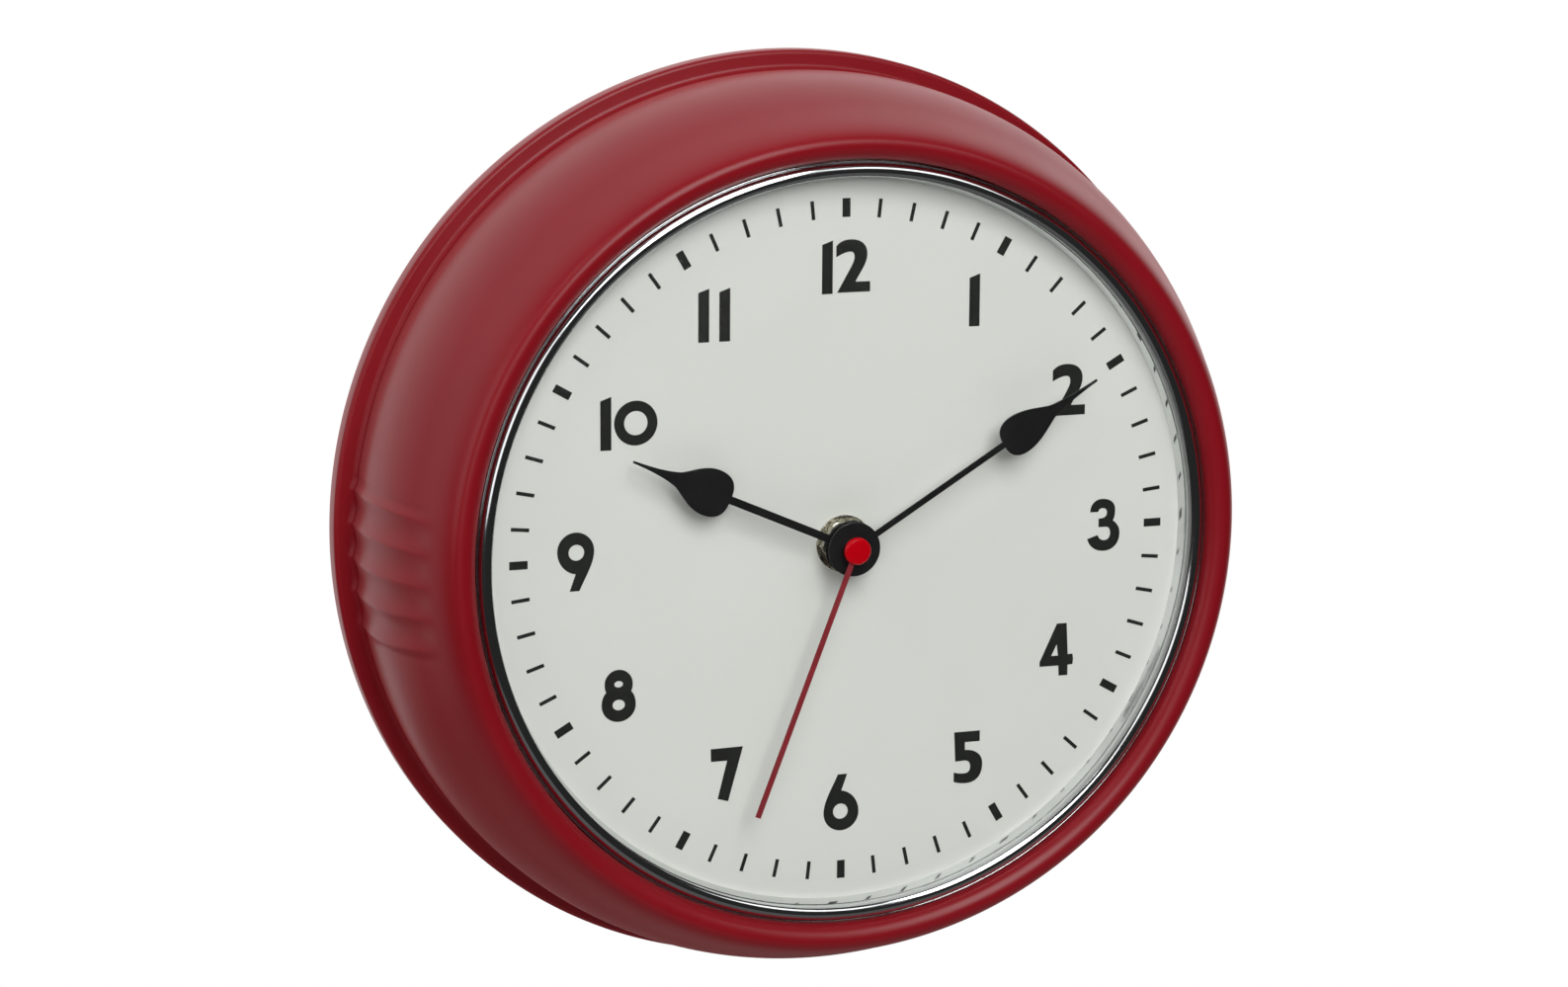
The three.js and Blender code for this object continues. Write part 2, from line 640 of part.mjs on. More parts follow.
/** The movement's front case: a tray with the threaded bush, the battery bay's wall, posts and bearings. */
function makeMovementFront() {
  const wall = MOVEMENT_WALL;
  const backEdge = INSIDE_BACK - SEAT;
  const outer = movementOutline(0);
  const inner = movementOutline(wall);
  const tray = cut(
    solid(plate(outer, MOVEMENT_FRONT, backEdge, 3)),
    solid(plate(inner, INSIDE_FRONT, backEdge + 1, 3)),
  );
  const reach = HALF_SIDE - wall / 2;
  const dividerBack = PLATE_Y + PLATE_THICK;
  const divider = solid(block(-reach, INSIDE_FRONT - 0.5, BAY_TOP, reach, dividerBack, BAY_TOP + DIVIDER));
  const bush = solid(rod(BUSH_R, MOVEMENT_FRONT - BUSH_LENGTH, MOVEMENT_FRONT + 0.5, 24));
  const posts = [[-1, 0], [1, 0], [-1, 1], [1, 1]].map(([side, top]) => {
    const x = side * (HALF_SIDE - wall - 1);
    const z = top ? MOVEMENT_TOP - wall - 1 : BAY_TOP + 2;
    return solid(block(x - 1.2, INSIDE_FRONT - 0.5, z - 1.2, x + 1.2, PLATE_Y - SEAT, z + 1.2));
  });
  const third = bossAndHole(THIRD_AT, INSIDE_FRONT - 0.4, HOUR_WHEEL_Y + WHEEL_THICK, HOUR_WHEEL_Y - 0.2);
  const knob = bossAndHole(KNOB_AT, INSIDE_FRONT - 0.4, HOUR_WHEEL_Y + WHEEL_THICK, HOUR_WHEEL_Y - 0.2);
  const pin = solid(rod(ARBOR_R, INSIDE_FRONT - 0.4, MOTION_WHEEL_Y + WHEEL_THICK + 0.2, 12, MOTION_AT));
  const bore = solid(rod(HOUR_PIPE_R + RUN, MOVEMENT_FRONT - BUSH_LENGTH - 1, INSIDE_FRONT + 1, 24));
  const body = join(tray, divider, bush, ...posts, third.boss, knob.boss, pin);
  return geometryOf(cut(body, bore, third.hole, knob.hole));
}

/** The middle plate: it carries the third wheel behind it and the fast wheels in front of the back. */
function makeMovementPlate() {
  const edge = HALF_SIDE - MOVEMENT_WALL - SLIP;
  const top = MOVEMENT_TOP - MOVEMENT_WALL - SLIP;
  const outline = roundedRectangle(-edge, BAY_TOP + DIVIDER + SLIP, edge, top, 1);
  const body = solid(plate(outline, PLATE_Y, PLATE_Y + PLATE_THICK, 2));
  const through = (at, radius) => solid(rod(radius, PLATE_Y - 1, PLATE_Y + PLATE_THICK + 1, 12, at));
  const coilReach = COIL_HALF + 2;
  const coilBottom = COIL_AT.y - COIL_R;
  const { x } = COIL_AT;
  const [left, right] = [x - coilReach, x + coilReach];
  const coilRoom = solid(block(left, PLATE_Y - 1, coilBottom, right, PLATE_Y + 3, top - 1.6));
  const pivots = [THIRD_AT, INTER_AT, ROTOR_AT].map((at) => through(at, PIVOT_R + RUN));
  return geometryOf(cut(body, through(CENTRE, SECOND_R + RUN), through(KNOB_AT, 2), coilRoom, ...pivots));
}

/** The movement's back: a lid with bearings, a hole for the setting shaft and an open battery bay. */
function makeMovementBack() {
  const lid = solid(plate(movementOutline(0), INSIDE_BACK, MOVEMENT_BACK, 3));
  const side = HALF_SIDE - MOVEMENT_WALL - 1.2;
  const bayHalf = BATTERY_R - 0.3;
  const back = MOVEMENT_BACK + 1;
  const bay = solid(block(-side, INSIDE_BACK - 1, BATTERY_Z - bayHalf, side, back, BATTERY_Z + bayHalf));
  const fixings = [CENTRE, INTER_AT, ROTOR_AT].map((at) => {
    return bossAndHole(at, INSIDE_BACK + 0.4, INSIDE_BACK - BOSS_LENGTH, INSIDE_BACK + 0.2);
  });
  const shaft = solid(rod(KNOB_SHAFT_R + RUN, INSIDE_BACK - 1, back, 12, KNOB_AT));
  const body = join(lid, ...fixings.map((each) => each.boss));
  return geometryOf(cut(body, bay, shaft, ...fixings.map((each) => each.hole)));
}

/** The stator: a soft-iron U with the rotor's hole in its bottom bar. */
function makeStator() {
  const leg = 4;
  const half = COIL_HALF + leg + 0.5;
  const back = STATOR_Y + STATOR_THICK;
  const { x, y: z } = ROTOR_AT;
  const bar = solid(block(x - half, STATOR_Y, z - STATOR_HALF, x + half, back, z + STATOR_HALF));
  const legs = [x - half, x + half - leg].map((left) => {
    return solid(block(left, STATOR_Y, z, left + leg, back, COIL_AT.y + 2));
  });
  const hole = solid(rod(MAGNET_R + 0.4, STATOR_Y - 1, STATOR_Y + 2, 20, ROTOR_AT));
  return geometryOf(cut(join(bar, ...legs), hole));
}

/** A round piece along X at the coil's place. */
function alongCoil(profile, steps) {
  const geometry = turned(profile, steps);
  geometry.rotateZ(-Math.PI / 2);
  geometry.translate(COIL_AT.x, COIL_Y, COIL_AT.y);
  return geometry;
}

/** The coil's iron core, lying across the stator's legs. */
function makeCoilCore() {
  const half = COIL_HALF + 4.5;
  const { x, y: z } = COIL_AT;
  return closed(block(x - half, CORE_Y, z - 1, x + half, CORE_Y + STATOR_THICK, z + 1));
}

/** The coil's bobbin: a tube with a flange at each end. */
function makeCoilBobbin() {
  const end = COIL_HALF;
  const tube = 1.5;
  const half = [[0, end], [COIL_R, end], [COIL_R, end - 1], [tube, end - 1]];
  const profile = [...half.map(([r, y]) => [r, -y]), ...half.reverse()];
  const { x, y: z } = COIL_AT;
  const reach = end + 1;
  const slotBack = CORE_Y + STATOR_THICK + SEAT;
  const slot = solid(block(x - reach, CORE_Y - SEAT, z - 1 - SEAT, x + reach, slotBack, z + 1 + SEAT));
  return geometryOf(cut(solid(alongCoil(profile, 12)), slot));
}

/** The coil's copper winding between the bobbin's flanges. */
function makeCoilWinding() {
  const half = COIL_HALF - 1.2;
  const profile = [[1.7, -half], [COIL_R - 0.25, -half], [COIL_R - 0.25, half], [1.7, half], [1.7, -half]];
  return closed(alongCoil(profile, 12));
}

const BOARD_LEFT = -HALF_SIDE + MOVEMENT_WALL + SLIP;
const BOARD = { left: BOARD_LEFT, right: -12.5, bottom: BAY_TOP + 2, top: 8, thick: 1 };
const BOARD_BACK = INSIDE_BACK - 1.2;
const BOARD_FRONT = BOARD_BACK - BOARD.thick;

/** The circuit board beside the gear train. */
function makeCircuitBoard() {
  return closed(block(BOARD.left, BOARD_FRONT, BOARD.bottom, BOARD.right, BOARD_BACK, BOARD.top));
}

/** The quartz crystal: a small can lying on the board. */
function makeCrystal() {
  const geometry = rod(1, -3, 3, 12);
  geometry.rotateX(Math.PI / 2);
  geometry.translate(BOARD.left + 3, BOARD_FRONT - 1 - SEAT, (BOARD.bottom + BOARD.top) / 2);
  return closed(geometry);
}

/** The driver chip under its blob of black resin. */
function makeDriverChip() {
  const at = new THREE.Vector2(BOARD.right - 4, (BOARD.bottom + BOARD.top) / 2);
  const front = BOARD_FRONT - SEAT;
  const profile = [[0, front - 1], [1.3, front - 0.8], [2.2, front], [0, front]];
  return closed(turned(profile, 12, at));
}

/** The battery: one AA cell lying along X, its raised end to the right. */
function makeBattery() {
  const nub = 1.2;
  const half = BATTERY_LENGTH / 2;
  const crimp = 0.6;
  const nubR = 2.7;
  const can = half - nub;
  const crimpR = BATTERY_R - crimp;
  const profile = [[0, -half], [crimpR, -half], [BATTERY_R, crimp - half], [BATTERY_R, can - crimp],
    [crimpR, can], [nubR, can], [nubR, half], [0, half]];
  const geometry = turned(profile, 24);
  geometry.rotateZ(-Math.PI / 2);
  geometry.translate((BATTERY_LEFT + BATTERY_RIGHT) / 2, BATTERY_Y, BATTERY_Z);
  return closed(geometry);
}

/** The plate that meets the battery's raised end. */
function makePlusContact() {
  const x = BATTERY_RIGHT + SEAT;
  return closed(block(x, BATTERY_Y - 4, BATTERY_Z - 4, x + CONTACT_THICK, BATTERY_Y + 4, BATTERY_Z + 4));
}

/** The conical spring that meets the battery's flat end. */
function makeMinusContact() {
  const wire = 0.25;
  const turns = 2.5;
  const wide = 4.4;
  const narrow = 2;
  const from = -HALF_SIDE + MOVEMENT_WALL + wire + SEAT;
  const to = BATTERY_LEFT - wire - SEAT;
  const points = [];
  for (let i = 0; i <= 30; i += 1) {
    const t = i / 30;
    const angle = t * turns * TAU;
    const radius = wide + (narrow - wide) * t;
    const x = from + (to - from) * t;
    const [y, z] = [BATTERY_Y + radius * Math.cos(angle), BATTERY_Z + radius * Math.sin(angle)];
    points.push(new THREE.Vector3(x, y, z));
  }
  const section = new THREE.Shape().absarc(0, 0, wire, 0, TAU);
  const extrudePath = new THREE.CatmullRomCurve3(points);
  const options = { steps: 30, curveSegments: 3, bevelEnabled: false, extrudePath };
  return closed(new THREE.ExtrudeGeometry(section, options));
}

// ---------------------------------------------------------------- movement: wheels

/** The hour wheel and the pipe that carries the hour hand. */
function makeHourWheel() {
  const module = moduleOf(MOTION_TO_HOUR, MOTION_DISTANCE);
  const front = DIAL_Y - HOUR_HEIGHT - HAND_THICK;
  const wheel = driver(MOTION_TO_HOUR.wheel, module, MOTION_ANGLE, HOUR_WHEEL_Y);
  const pipe = solid(rod(HOUR_PIPE_R, front, HOUR_WHEEL_Y + WHEEL_THICK, 24));
  const bore = solid(rod(MINUTE_PIPE_R + RUN, front - 1, HOUR_WHEEL_Y + WHEEL_THICK + 1, 20));
  return geometryOf(cut(join(wheel, pipe), bore));
}

/** The centre wheel with its cannon pinion and the pipe that carries the minute hand. */
function makeCentreWheel() {
  const front = DIAL_Y - MINUTE_HEIGHT - HAND_THICK;
  const module = moduleOf(THIRD_TO_CENTRE, THIRD_DISTANCE);
  const wheel = driver(THIRD_TO_CENTRE.wheel, module, THIRD_ANGLE, CENTRE_WHEEL_Y);
  const pinion = driver(CANNON_TO_MOTION.pinion, MOTION_MODULE, MOTION_ANGLE, MOTION_WHEEL_Y);
  const pipe = solid(rod(MINUTE_PIPE_R, front, CENTRE_WHEEL_Y + WHEEL_THICK, 20));
  const bore = solid(rod(SECOND_R + RUN, front - 1, CENTRE_WHEEL_Y + WHEEL_THICK + 1, 16));
  return geometryOf(cut(join(wheel, pinion, pipe), bore));
}

/** The motion wheel, which turns on a pin and takes the minute wheel's motion down to the hour wheel's. */
function makeMotionWheel() {
  const module = moduleOf(MOTION_TO_HOUR, MOTION_DISTANCE);
  const wheelTeeth = CANNON_TO_MOTION.wheel;
  const wheel = driven(wheelTeeth, MOTION_MODULE, MOTION_ANGLE, MOTION_WHEEL_Y, MOTION_AT);
  const pinion = driven(MOTION_TO_HOUR.pinion, module, MOTION_ANGLE, HOUR_WHEEL_Y, MOTION_AT);
  const back = MOTION_WHEEL_Y + WHEEL_THICK;
  const hub = solid(rod(ARBOR_R + 0.5, HOUR_WHEEL_Y, back, 12, MOTION_AT));
  const bore = solid(rod(ARBOR_R + RUN, HOUR_WHEEL_Y - 1, back + 1, 12, MOTION_AT));
  return geometryOf(cut(join(wheel, pinion, hub), bore));
}

/** An arbor with a thinner pivot at each end; the shoulders keep off the bearings by the face play. */
function arbor(from, firstShoulder, secondShoulder, to, at) {
  const first = firstShoulder + SEAT;
  const second = secondShoulder - SEAT;
  const profile = [[0, from], [PIVOT_R, from], [PIVOT_R, first], [ARBOR_R, first], [ARBOR_R, second],
    [PIVOT_R, second], [PIVOT_R, to], [0, to]];
  return solid(turned(profile, 12, at));
}

/** An arbor that runs between the middle plate and a bearing boss in the movement's back. */
function backArbor(at) {
  return arbor(PLATE_Y + SEAT, PLATE_Y + PLATE_THICK, INSIDE_BACK - BOSS_LENGTH, INSIDE_BACK, at);
}

/** The third wheel and pinion: second arbor to centre wheel. */
function makeThirdWheel() {
  const wheelModule = moduleOf(SECOND_TO_THIRD, THIRD_DISTANCE);
  const pinionModule = moduleOf(THIRD_TO_CENTRE, THIRD_DISTANCE);
  const wheel = driven(SECOND_TO_THIRD.wheel, wheelModule, THIRD_ANGLE, THIRD_WHEEL_Y, THIRD_AT);
  const pinion = driven(THIRD_TO_CENTRE.pinion, pinionModule, THIRD_ANGLE, CENTRE_WHEEL_Y, THIRD_AT);
  const frontBoss = HOUR_WHEEL_Y + WHEEL_THICK;
  const pivots = arbor(HOUR_WHEEL_Y + SEAT, frontBoss, PLATE_Y, PLATE_Y + PLATE_THICK - SEAT, THIRD_AT);
  return geometryOf(join(wheel, pinion, pivots));
}

/** The second wheel on the long arbor that carries the second hand. */
function makeSecondWheel() {
  const front = DIAL_Y - SECOND_HEIGHT - HAND_THICK;
  const wheelModule = moduleOf(INTER_TO_SECOND, INTER_DISTANCE);
  const pinionModule = moduleOf(SECOND_TO_THIRD, THIRD_DISTANCE);
  const wheel = driver(INTER_TO_SECOND.wheel, wheelModule, INTER_ANGLE, SECOND_WHEEL_Y);
  const pinion = driver(SECOND_TO_THIRD.pinion, pinionModule, THIRD_ANGLE, THIRD_WHEEL_Y);
  const shoulder = INSIDE_BACK - BOSS_LENGTH - WHEEL_GAP;
  const end = INSIDE_BACK;
  const profile = [[0, front], [SECOND_R, front], [SECOND_R, shoulder], [PIVOT_R, shoulder], [PIVOT_R, end],
    [0, end]];
  return geometryOf(join(wheel, pinion, solid(turned(profile, 12))));
}

/** The intermediate wheel and pinion: rotor to second wheel. */
function makeIntermediateWheel() {
  const wheelModule = moduleOf(ROTOR_TO_INTER, ROTOR_DISTANCE);
  const pinionModule = moduleOf(INTER_TO_SECOND, INTER_DISTANCE);
  const wheel = driver(ROTOR_TO_INTER.wheel, wheelModule, ROTOR_ANGLE, INTER_WHEEL_Y, INTER_AT);
  const pinion = driven(INTER_TO_SECOND.pinion, pinionModule, INTER_ANGLE, SECOND_WHEEL_Y, INTER_AT);
  return geometryOf(join(wheel, pinion, backArbor(INTER_AT)));
}

/** The rotor's pinion and arbor. */
function makeRotorPinion() {
  const module = moduleOf(ROTOR_TO_INTER, ROTOR_DISTANCE);
  const pinion = driven(ROTOR_TO_INTER.pinion, module, ROTOR_ANGLE, INTER_WHEEL_Y, ROTOR_AT);
  return geometryOf(join(pinion, backArbor(ROTOR_AT)));
}

/** The rotor's ring magnet. */
function makeRotorMagnet() {
  return closed(ring(ARBOR_R + SEAT, MAGNET_R, MAGNET_Y, MAGNET_Y + MAGNET_LENGTH, 20, ROTOR_AT));
}

/** The setting knob, its shaft through the back and its pinion on the motion wheel. */
function makeSettingKnob() {
  const teeth = KNOB_PAIR.pinion;
  const pinion = driven(teeth, MOTION_MODULE, KNOB_ANGLE, MOTION_WHEEL_Y, KNOB_AT);
  const front = HOUR_WHEEL_Y + SEAT;
  const knobFront = MOVEMENT_BACK + WHEEL_GAP;
  const knobBack = knobFront + KNOB_HEIGHT;
  const shaftProfile = [[0, front], [PIVOT_R, front], [PIVOT_R, MOTION_WHEEL_Y],
    [KNOB_SHAFT_R, MOTION_WHEEL_Y], [KNOB_SHAFT_R, knobFront + 1], [0, knobFront + 1]];
  const grip = new THREE.Shape();
  const flutes = 16;
  for (let i = 0; i < 2 * flutes; i += 1) {
    const point = polar((180 * i) / flutes, i % 2 ? KNOB_R - 0.5 : KNOB_R);
    if (i === 0) grip.moveTo(point.x, point.y);
    else grip.lineTo(point.x, point.y);
  }
  const knob = plate(grip, knobFront, knobBack);
  knob.translate(KNOB_AT.x, 0, KNOB_AT.y);
  return geometryOf(join(pinion, solid(turned(shaftProfile, 12, KNOB_AT)), solid(knob)));
}

// ---------------------------------------------------------------- back

/** The keyhole's outline: a round hole below and a narrow slot above it. */
function keyholeShape(grow) {
  const wide = KEYHOLE_R + grow;
  const narrow = KEYHOLE_SLOT + grow;
  const start = Math.acos(narrow / wide);
  const shape = new THREE.Shape();
  shape.moveTo(narrow, KEYHOLE_RISE);
  shape.absarc(0, KEYHOLE_RISE, narrow, 0, Math.PI);
  shape.absarc(0, 0, wide, Math.PI - start, TAU + start);
  return shape;
}

/** The rear cover: a flat disc with a window over the movement, screw holes and room behind the keyhole. */
function makeRearCover() {
  const disc = solid(rod(COVER_R, COVER_FRONT, COVER_BACK, ROUND_STEPS));
  const middle = (MOVEMENT_TOP + MOVEMENT_BOTTOM) / 2;
  const half = WINDOW_SIDE / 2;
  const window = roundedRectangle(-half, middle - half, half, middle + half, 7);
  const through = (shape) => solid(plate(shape, COVER_FRONT - 1, COVER_BACK + 1, 3));
  const room = roundedRectangle(-KEYHOLE_R - 1, HANGER_Z - KEYHOLE_R - 1, KEYHOLE_R + 1,
    HANGER_Z + KEYHOLE_RISE + KEYHOLE_SLOT + 1, 2);
  const screwHoles = LUG_ANGLES.map((angle) => {
    return solid(rod(SCREW_R + 0.25, COVER_FRONT - 1, COVER_BACK + 1, 12, polar(angle, SCREW_CIRCLE)));
  });
  const rivetHoles = rivetPlaces().map((at) => {
    return solid(rod(RIVET_R + 0.15, COVER_FRONT - 1, COVER_BACK + 1, 12, at));
  });
  return geometryOf(cut(disc, through(window), through(room), ...screwHoles, ...rivetHoles));
}

/** Where the hanger's two rivets go. */
function rivetPlaces() {
  const x = HANGER_WIDTH / 2 - 6;
  const z = HANGER_Z + KEYHOLE_RISE / 2;
  return [new THREE.Vector2(-x, z), new THREE.Vector2(x, z)];
}

/** The hanger: a steel plate on the rear cover with a keyhole for a wall screw. */
function makeHangerPlate() {
  const front = COVER_BACK + SEAT;
  const back = front + HANGER_THICK;
  const middle = HANGER_Z + KEYHOLE_RISE / 2;
  const half = HANGER_HEIGHT / 2;
  const outline = roundedRectangle(-HANGER_WIDTH / 2, middle - half, HANGER_WIDTH / 2, middle + half, 4);
  const keyhole = plate(keyholeShape(0), front - 1, back + 1, 8);
  keyhole.translate(0, 0, HANGER_Z);
  const rivetHoles = rivetPlaces().map((at) => solid(rod(RIVET_R + 0.15, front - 1, back + 1, 12, at)));
  return geometryOf(cut(solid(plate(outline, front, back, 3)), solid(keyhole), ...rivetHoles));
}

/** A rivet through the hanger and the cover, with a head on each side. */
function makeRivet(at) {
  const headR = RIVET_R + 1.4;
  const back = COVER_BACK + HANGER_THICK + 2 * SEAT;
  const front = COVER_FRONT - SEAT;
  const crownR = headR - 0.6;
  const crown = 0.8;
  const profile = [[0, front - crown], [crownR, front - crown], [headR, front], [RIVET_R, front],
    [RIVET_R, back], [headR, back], [crownR, back + crown], [0, back + crown]];
  return closed(turned(profile, 12, at));
}

/** A lug on the inside of the case that a cover screw goes into, made at +X and turned to its angle. */
function makeLug(angle) {
  const back = COVER_FRONT - SEAT;
  const half = LUG_WIDTH / 2;
  const [inner, outer] = [LUG_OUTER - LUG_LENGTH, LUG_OUTER];
  const foot = solid(block(inner, back - LUG_SHEET, -half, outer, back, half));
  const web = solid(block(outer - LUG_SHEET, back - LUG_DEPTH, -half, outer, back - LUG_SHEET / 2, half));
  const hole = solid(rod(SCREW_R + RUN, back - 4, back + 1, 12, new THREE.Vector2(SCREW_CIRCLE, 0)));
  const geometry = geometryOf(cut(join(foot, web), hole));
  geometry.rotateY(-rad(angle));
  return closed(geometry);
}

/** A cover screw: a pan head with a straight slot on a plain shank. */
function makeCoverScrew(angle) {
  const back = COVER_BACK + SEAT;
  const tip = back - SCREW_LENGTH;
  const at = polar(angle, SCREW_CIRCLE);
  const top = back + SCREW_HEAD;
  const profile = [[0, tip], [SCREW_R - 0.5, tip], [SCREW_R, tip + 0.7], [SCREW_R, back],
    [SCREW_HEAD_R, back], [SCREW_HEAD_R, back + 0.9], [SCREW_HEAD_R - 0.9, top], [0, top]];
  const slot = block(at.x - 4, top - 0.7, at.y - 0.35, at.x + 4, top + 1, at.y + 0.35);
  return geometryOf(cut(solid(turned(profile, 12, at)), solid(slot)));
}

// ---------------------------------------------------------------- the assembly

const finishes = {
  redPaint: { color: 0x8c141e, roughness: 0.35, metalness: 0.1 },
  chrome: { color: 0xc8c8c8, roughness: 0.08, metalness: 1 },
  mirror: { color: 0xb8bcb8, roughness: 0.12, metalness: 1 },
  glass: { color: 0xf2f6f5, roughness: 0.02, metalness: 0, transparent: true, opacity: 0.2 },
  rubber: { color: 0x1d1d1d, roughness: 0.9, metalness: 0 },
  dialPaint: { color: 0xd5d9d1, roughness: 0.5, metalness: 0 },
  blackPaint: { color: 0x181818, roughness: 0.45, metalness: 0 },
  redHand: { color: 0x8c1e26, roughness: 0.45, metalness: 0 },
  redCap: { color: 0xc80014, roughness: 0.35, metalness: 0 },
  brass: { color: 0x8c8558, roughness: 0.35, metalness: 1 },
  blackPlastic: { color: 0x202020, roughness: 0.6, metalness: 0 },
  whitePlastic: { color: 0xe6e4dc, roughness: 0.5, metalness: 0 },
  steel: { color: 0xa8a9ab, roughness: 0.4, metalness: 1 },
  copper: { color: 0xa8562c, roughness: 0.4, metalness: 1 },
  board: { color: 0x2a5a38, roughness: 0.5, metalness: 0 },
  resin: { color: 0x101010, roughness: 0.3, metalness: 0 },
  batterySleeve: { color: 0x3a4a5c, roughness: 0.3, metalness: 0.2 },
  magnet: { color: 0x3c3c40, roughness: 0.5, metalness: 0.8 },
};

const clock = new THREE.Group();
clock.name = "wall_clock";

/** Put a finished piece into the assembly under its own name. */
function add(name, geometry, finish) {
  const mesh = new THREE.Mesh(geometry, new THREE.MeshStandardMaterial(finishes[finish]));
  mesh.name = name;
  clock.add(mesh);
}

add("case_shell", makeCaseShell(), "redPaint");
add("chrome_bezel", makeBezel(), "chrome");
add("inner_ring", makeInnerRing(), "mirror");
add("lens_gasket", makeLensGasket(), "rubber");
add("lens", makeLens(), "glass");
add("dial_plate", makeDial(), "dialPaint");

add("hour_hand", makeSpadeHand(HOUR_HAND, HOUR_HEIGHT, HOUR_PIPE_R), "blackPaint");
add("minute_hand", makeSpadeHand(MINUTE_HAND, MINUTE_HEIGHT, MINUTE_PIPE_R), "blackPaint");
add("second_hand", makeSecondHand(), "redHand");
add("hand_cap", makeHandCap(), "redCap");

add("bush_washer", makeBushWasher(), "rubber");
add("brass_washer", makeBrassWasher(), "brass");
add("hex_nut", makeHexNut(), "brass");
add("movement_front", makeMovementFront(), "blackPlastic");
add("movement_plate", makeMovementPlate(), "whitePlastic");
add("movement_back", makeMovementBack(), "blackPlastic");

add("hour_wheel", makeHourWheel(), "whitePlastic");
add("centre_wheel", makeCentreWheel(), "whitePlastic");
add("motion_wheel", makeMotionWheel(), "whitePlastic");
add("third_wheel", makeThirdWheel(), "whitePlastic");
add("second_wheel", makeSecondWheel(), "steel");
add("intermediate_wheel", makeIntermediateWheel(), "whitePlastic");
add("rotor_pinion", makeRotorPinion(), "whitePlastic");
add("rotor_magnet", makeRotorMagnet(), "magnet");
add("setting_knob", makeSettingKnob(), "whitePlastic");

add("stator", makeStator(), "steel");
add("coil_core", makeCoilCore(), "steel");
add("coil_bobbin", makeCoilBobbin(), "whitePlastic");
add("coil_winding", makeCoilWinding(), "copper");
add("circuit_board", makeCircuitBoard(), "board");
add("quartz_crystal", makeCrystal(), "steel");
add("driver_chip", makeDriverChip(), "resin");
add("battery", makeBattery(), "batterySleeve");
add("plus_contact", makePlusContact(), "steel");
add("minus_contact", makeMinusContact(), "steel");

add("rear_cover", makeRearCover(), "blackPaint");
add("hanger_plate", makeHangerPlate(), "steel");
rivetPlaces().forEach((at, i) => add(`hanger_rivet_${i + 1}`, makeRivet(at), "steel"));
LUG_ANGLES.forEach((angle, i) => add(`cover_lug_${i + 1}`, makeLug(angle), "redPaint"));
LUG_ANGLES.forEach((angle, i) => add(`cover_screw_${i + 1}`, makeCoverScrew(angle), "steel"));

export default clock;
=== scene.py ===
"""The fine surfaces and finishes of a retro wall clock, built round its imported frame.

The clock faces -Y, its axis is the Y axis and the wall is the plane y = 0. Sizes in the
classes are millimetres; meshes are in metres. Every finished piece keeps its place in its
mesh and rides on the body of the part that it stands for.
"""

import json
import logging
import math
from collections.abc import Iterable, Sequence
from dataclasses import dataclass, field
from enum import Enum

import bmesh
import bpy
from mathutils import Matrix, Vector

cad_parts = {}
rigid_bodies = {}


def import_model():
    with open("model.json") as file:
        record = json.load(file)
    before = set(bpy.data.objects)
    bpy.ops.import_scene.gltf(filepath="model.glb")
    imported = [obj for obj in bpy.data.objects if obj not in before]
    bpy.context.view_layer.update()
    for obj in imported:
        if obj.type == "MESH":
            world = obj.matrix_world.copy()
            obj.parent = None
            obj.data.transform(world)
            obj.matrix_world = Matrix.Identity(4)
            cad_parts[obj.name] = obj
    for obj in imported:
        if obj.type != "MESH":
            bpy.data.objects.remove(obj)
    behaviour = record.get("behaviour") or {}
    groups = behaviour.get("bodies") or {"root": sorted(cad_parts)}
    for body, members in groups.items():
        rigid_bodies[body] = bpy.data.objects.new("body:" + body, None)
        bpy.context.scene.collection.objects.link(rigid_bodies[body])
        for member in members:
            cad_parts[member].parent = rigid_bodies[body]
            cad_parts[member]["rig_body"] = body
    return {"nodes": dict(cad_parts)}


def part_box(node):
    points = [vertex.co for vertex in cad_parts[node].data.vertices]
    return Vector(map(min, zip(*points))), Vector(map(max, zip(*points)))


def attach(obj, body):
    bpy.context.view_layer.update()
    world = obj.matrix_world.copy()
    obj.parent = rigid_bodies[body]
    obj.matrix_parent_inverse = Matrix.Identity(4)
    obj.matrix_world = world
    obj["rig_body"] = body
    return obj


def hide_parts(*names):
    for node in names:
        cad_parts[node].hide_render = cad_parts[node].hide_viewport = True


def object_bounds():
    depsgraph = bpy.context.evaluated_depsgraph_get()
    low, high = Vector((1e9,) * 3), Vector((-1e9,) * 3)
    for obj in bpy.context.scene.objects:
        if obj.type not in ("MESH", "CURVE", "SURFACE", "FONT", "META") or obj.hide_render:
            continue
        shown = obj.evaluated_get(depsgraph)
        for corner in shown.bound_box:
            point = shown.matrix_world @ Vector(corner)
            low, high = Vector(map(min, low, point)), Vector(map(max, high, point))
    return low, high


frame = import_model()
CAD_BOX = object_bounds()

log = logging.getLogger("wall_clock")

MM = 0.001
FINE_STEPS = 256
NOISE_SPAN = (0.3, 0.7)
BUSH_HOLE = 4.3
LIGHT_AIM = Vector((0.0, -0.03, 0.0))
SMOOTH_ANGLE = math.radians(32)

Colour = tuple[float, float, float]
Point = tuple[float, float]


def body_of(node: str) -> str:
    """The body that a node belongs to."""
    return frame["nodes"][node]["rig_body"]


def limits(node: str) -> tuple[Vector, Vector]:
    """A node's lowest and highest corner in millimetres."""
    low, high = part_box(node)
    return low / MM, high / MM


def middle(node: str) -> Vector:
    """The middle of a node's box in millimetres."""
    low, high = limits(node)
    return (low + high) / 2


# ------------------------------------------------------------------ node trees


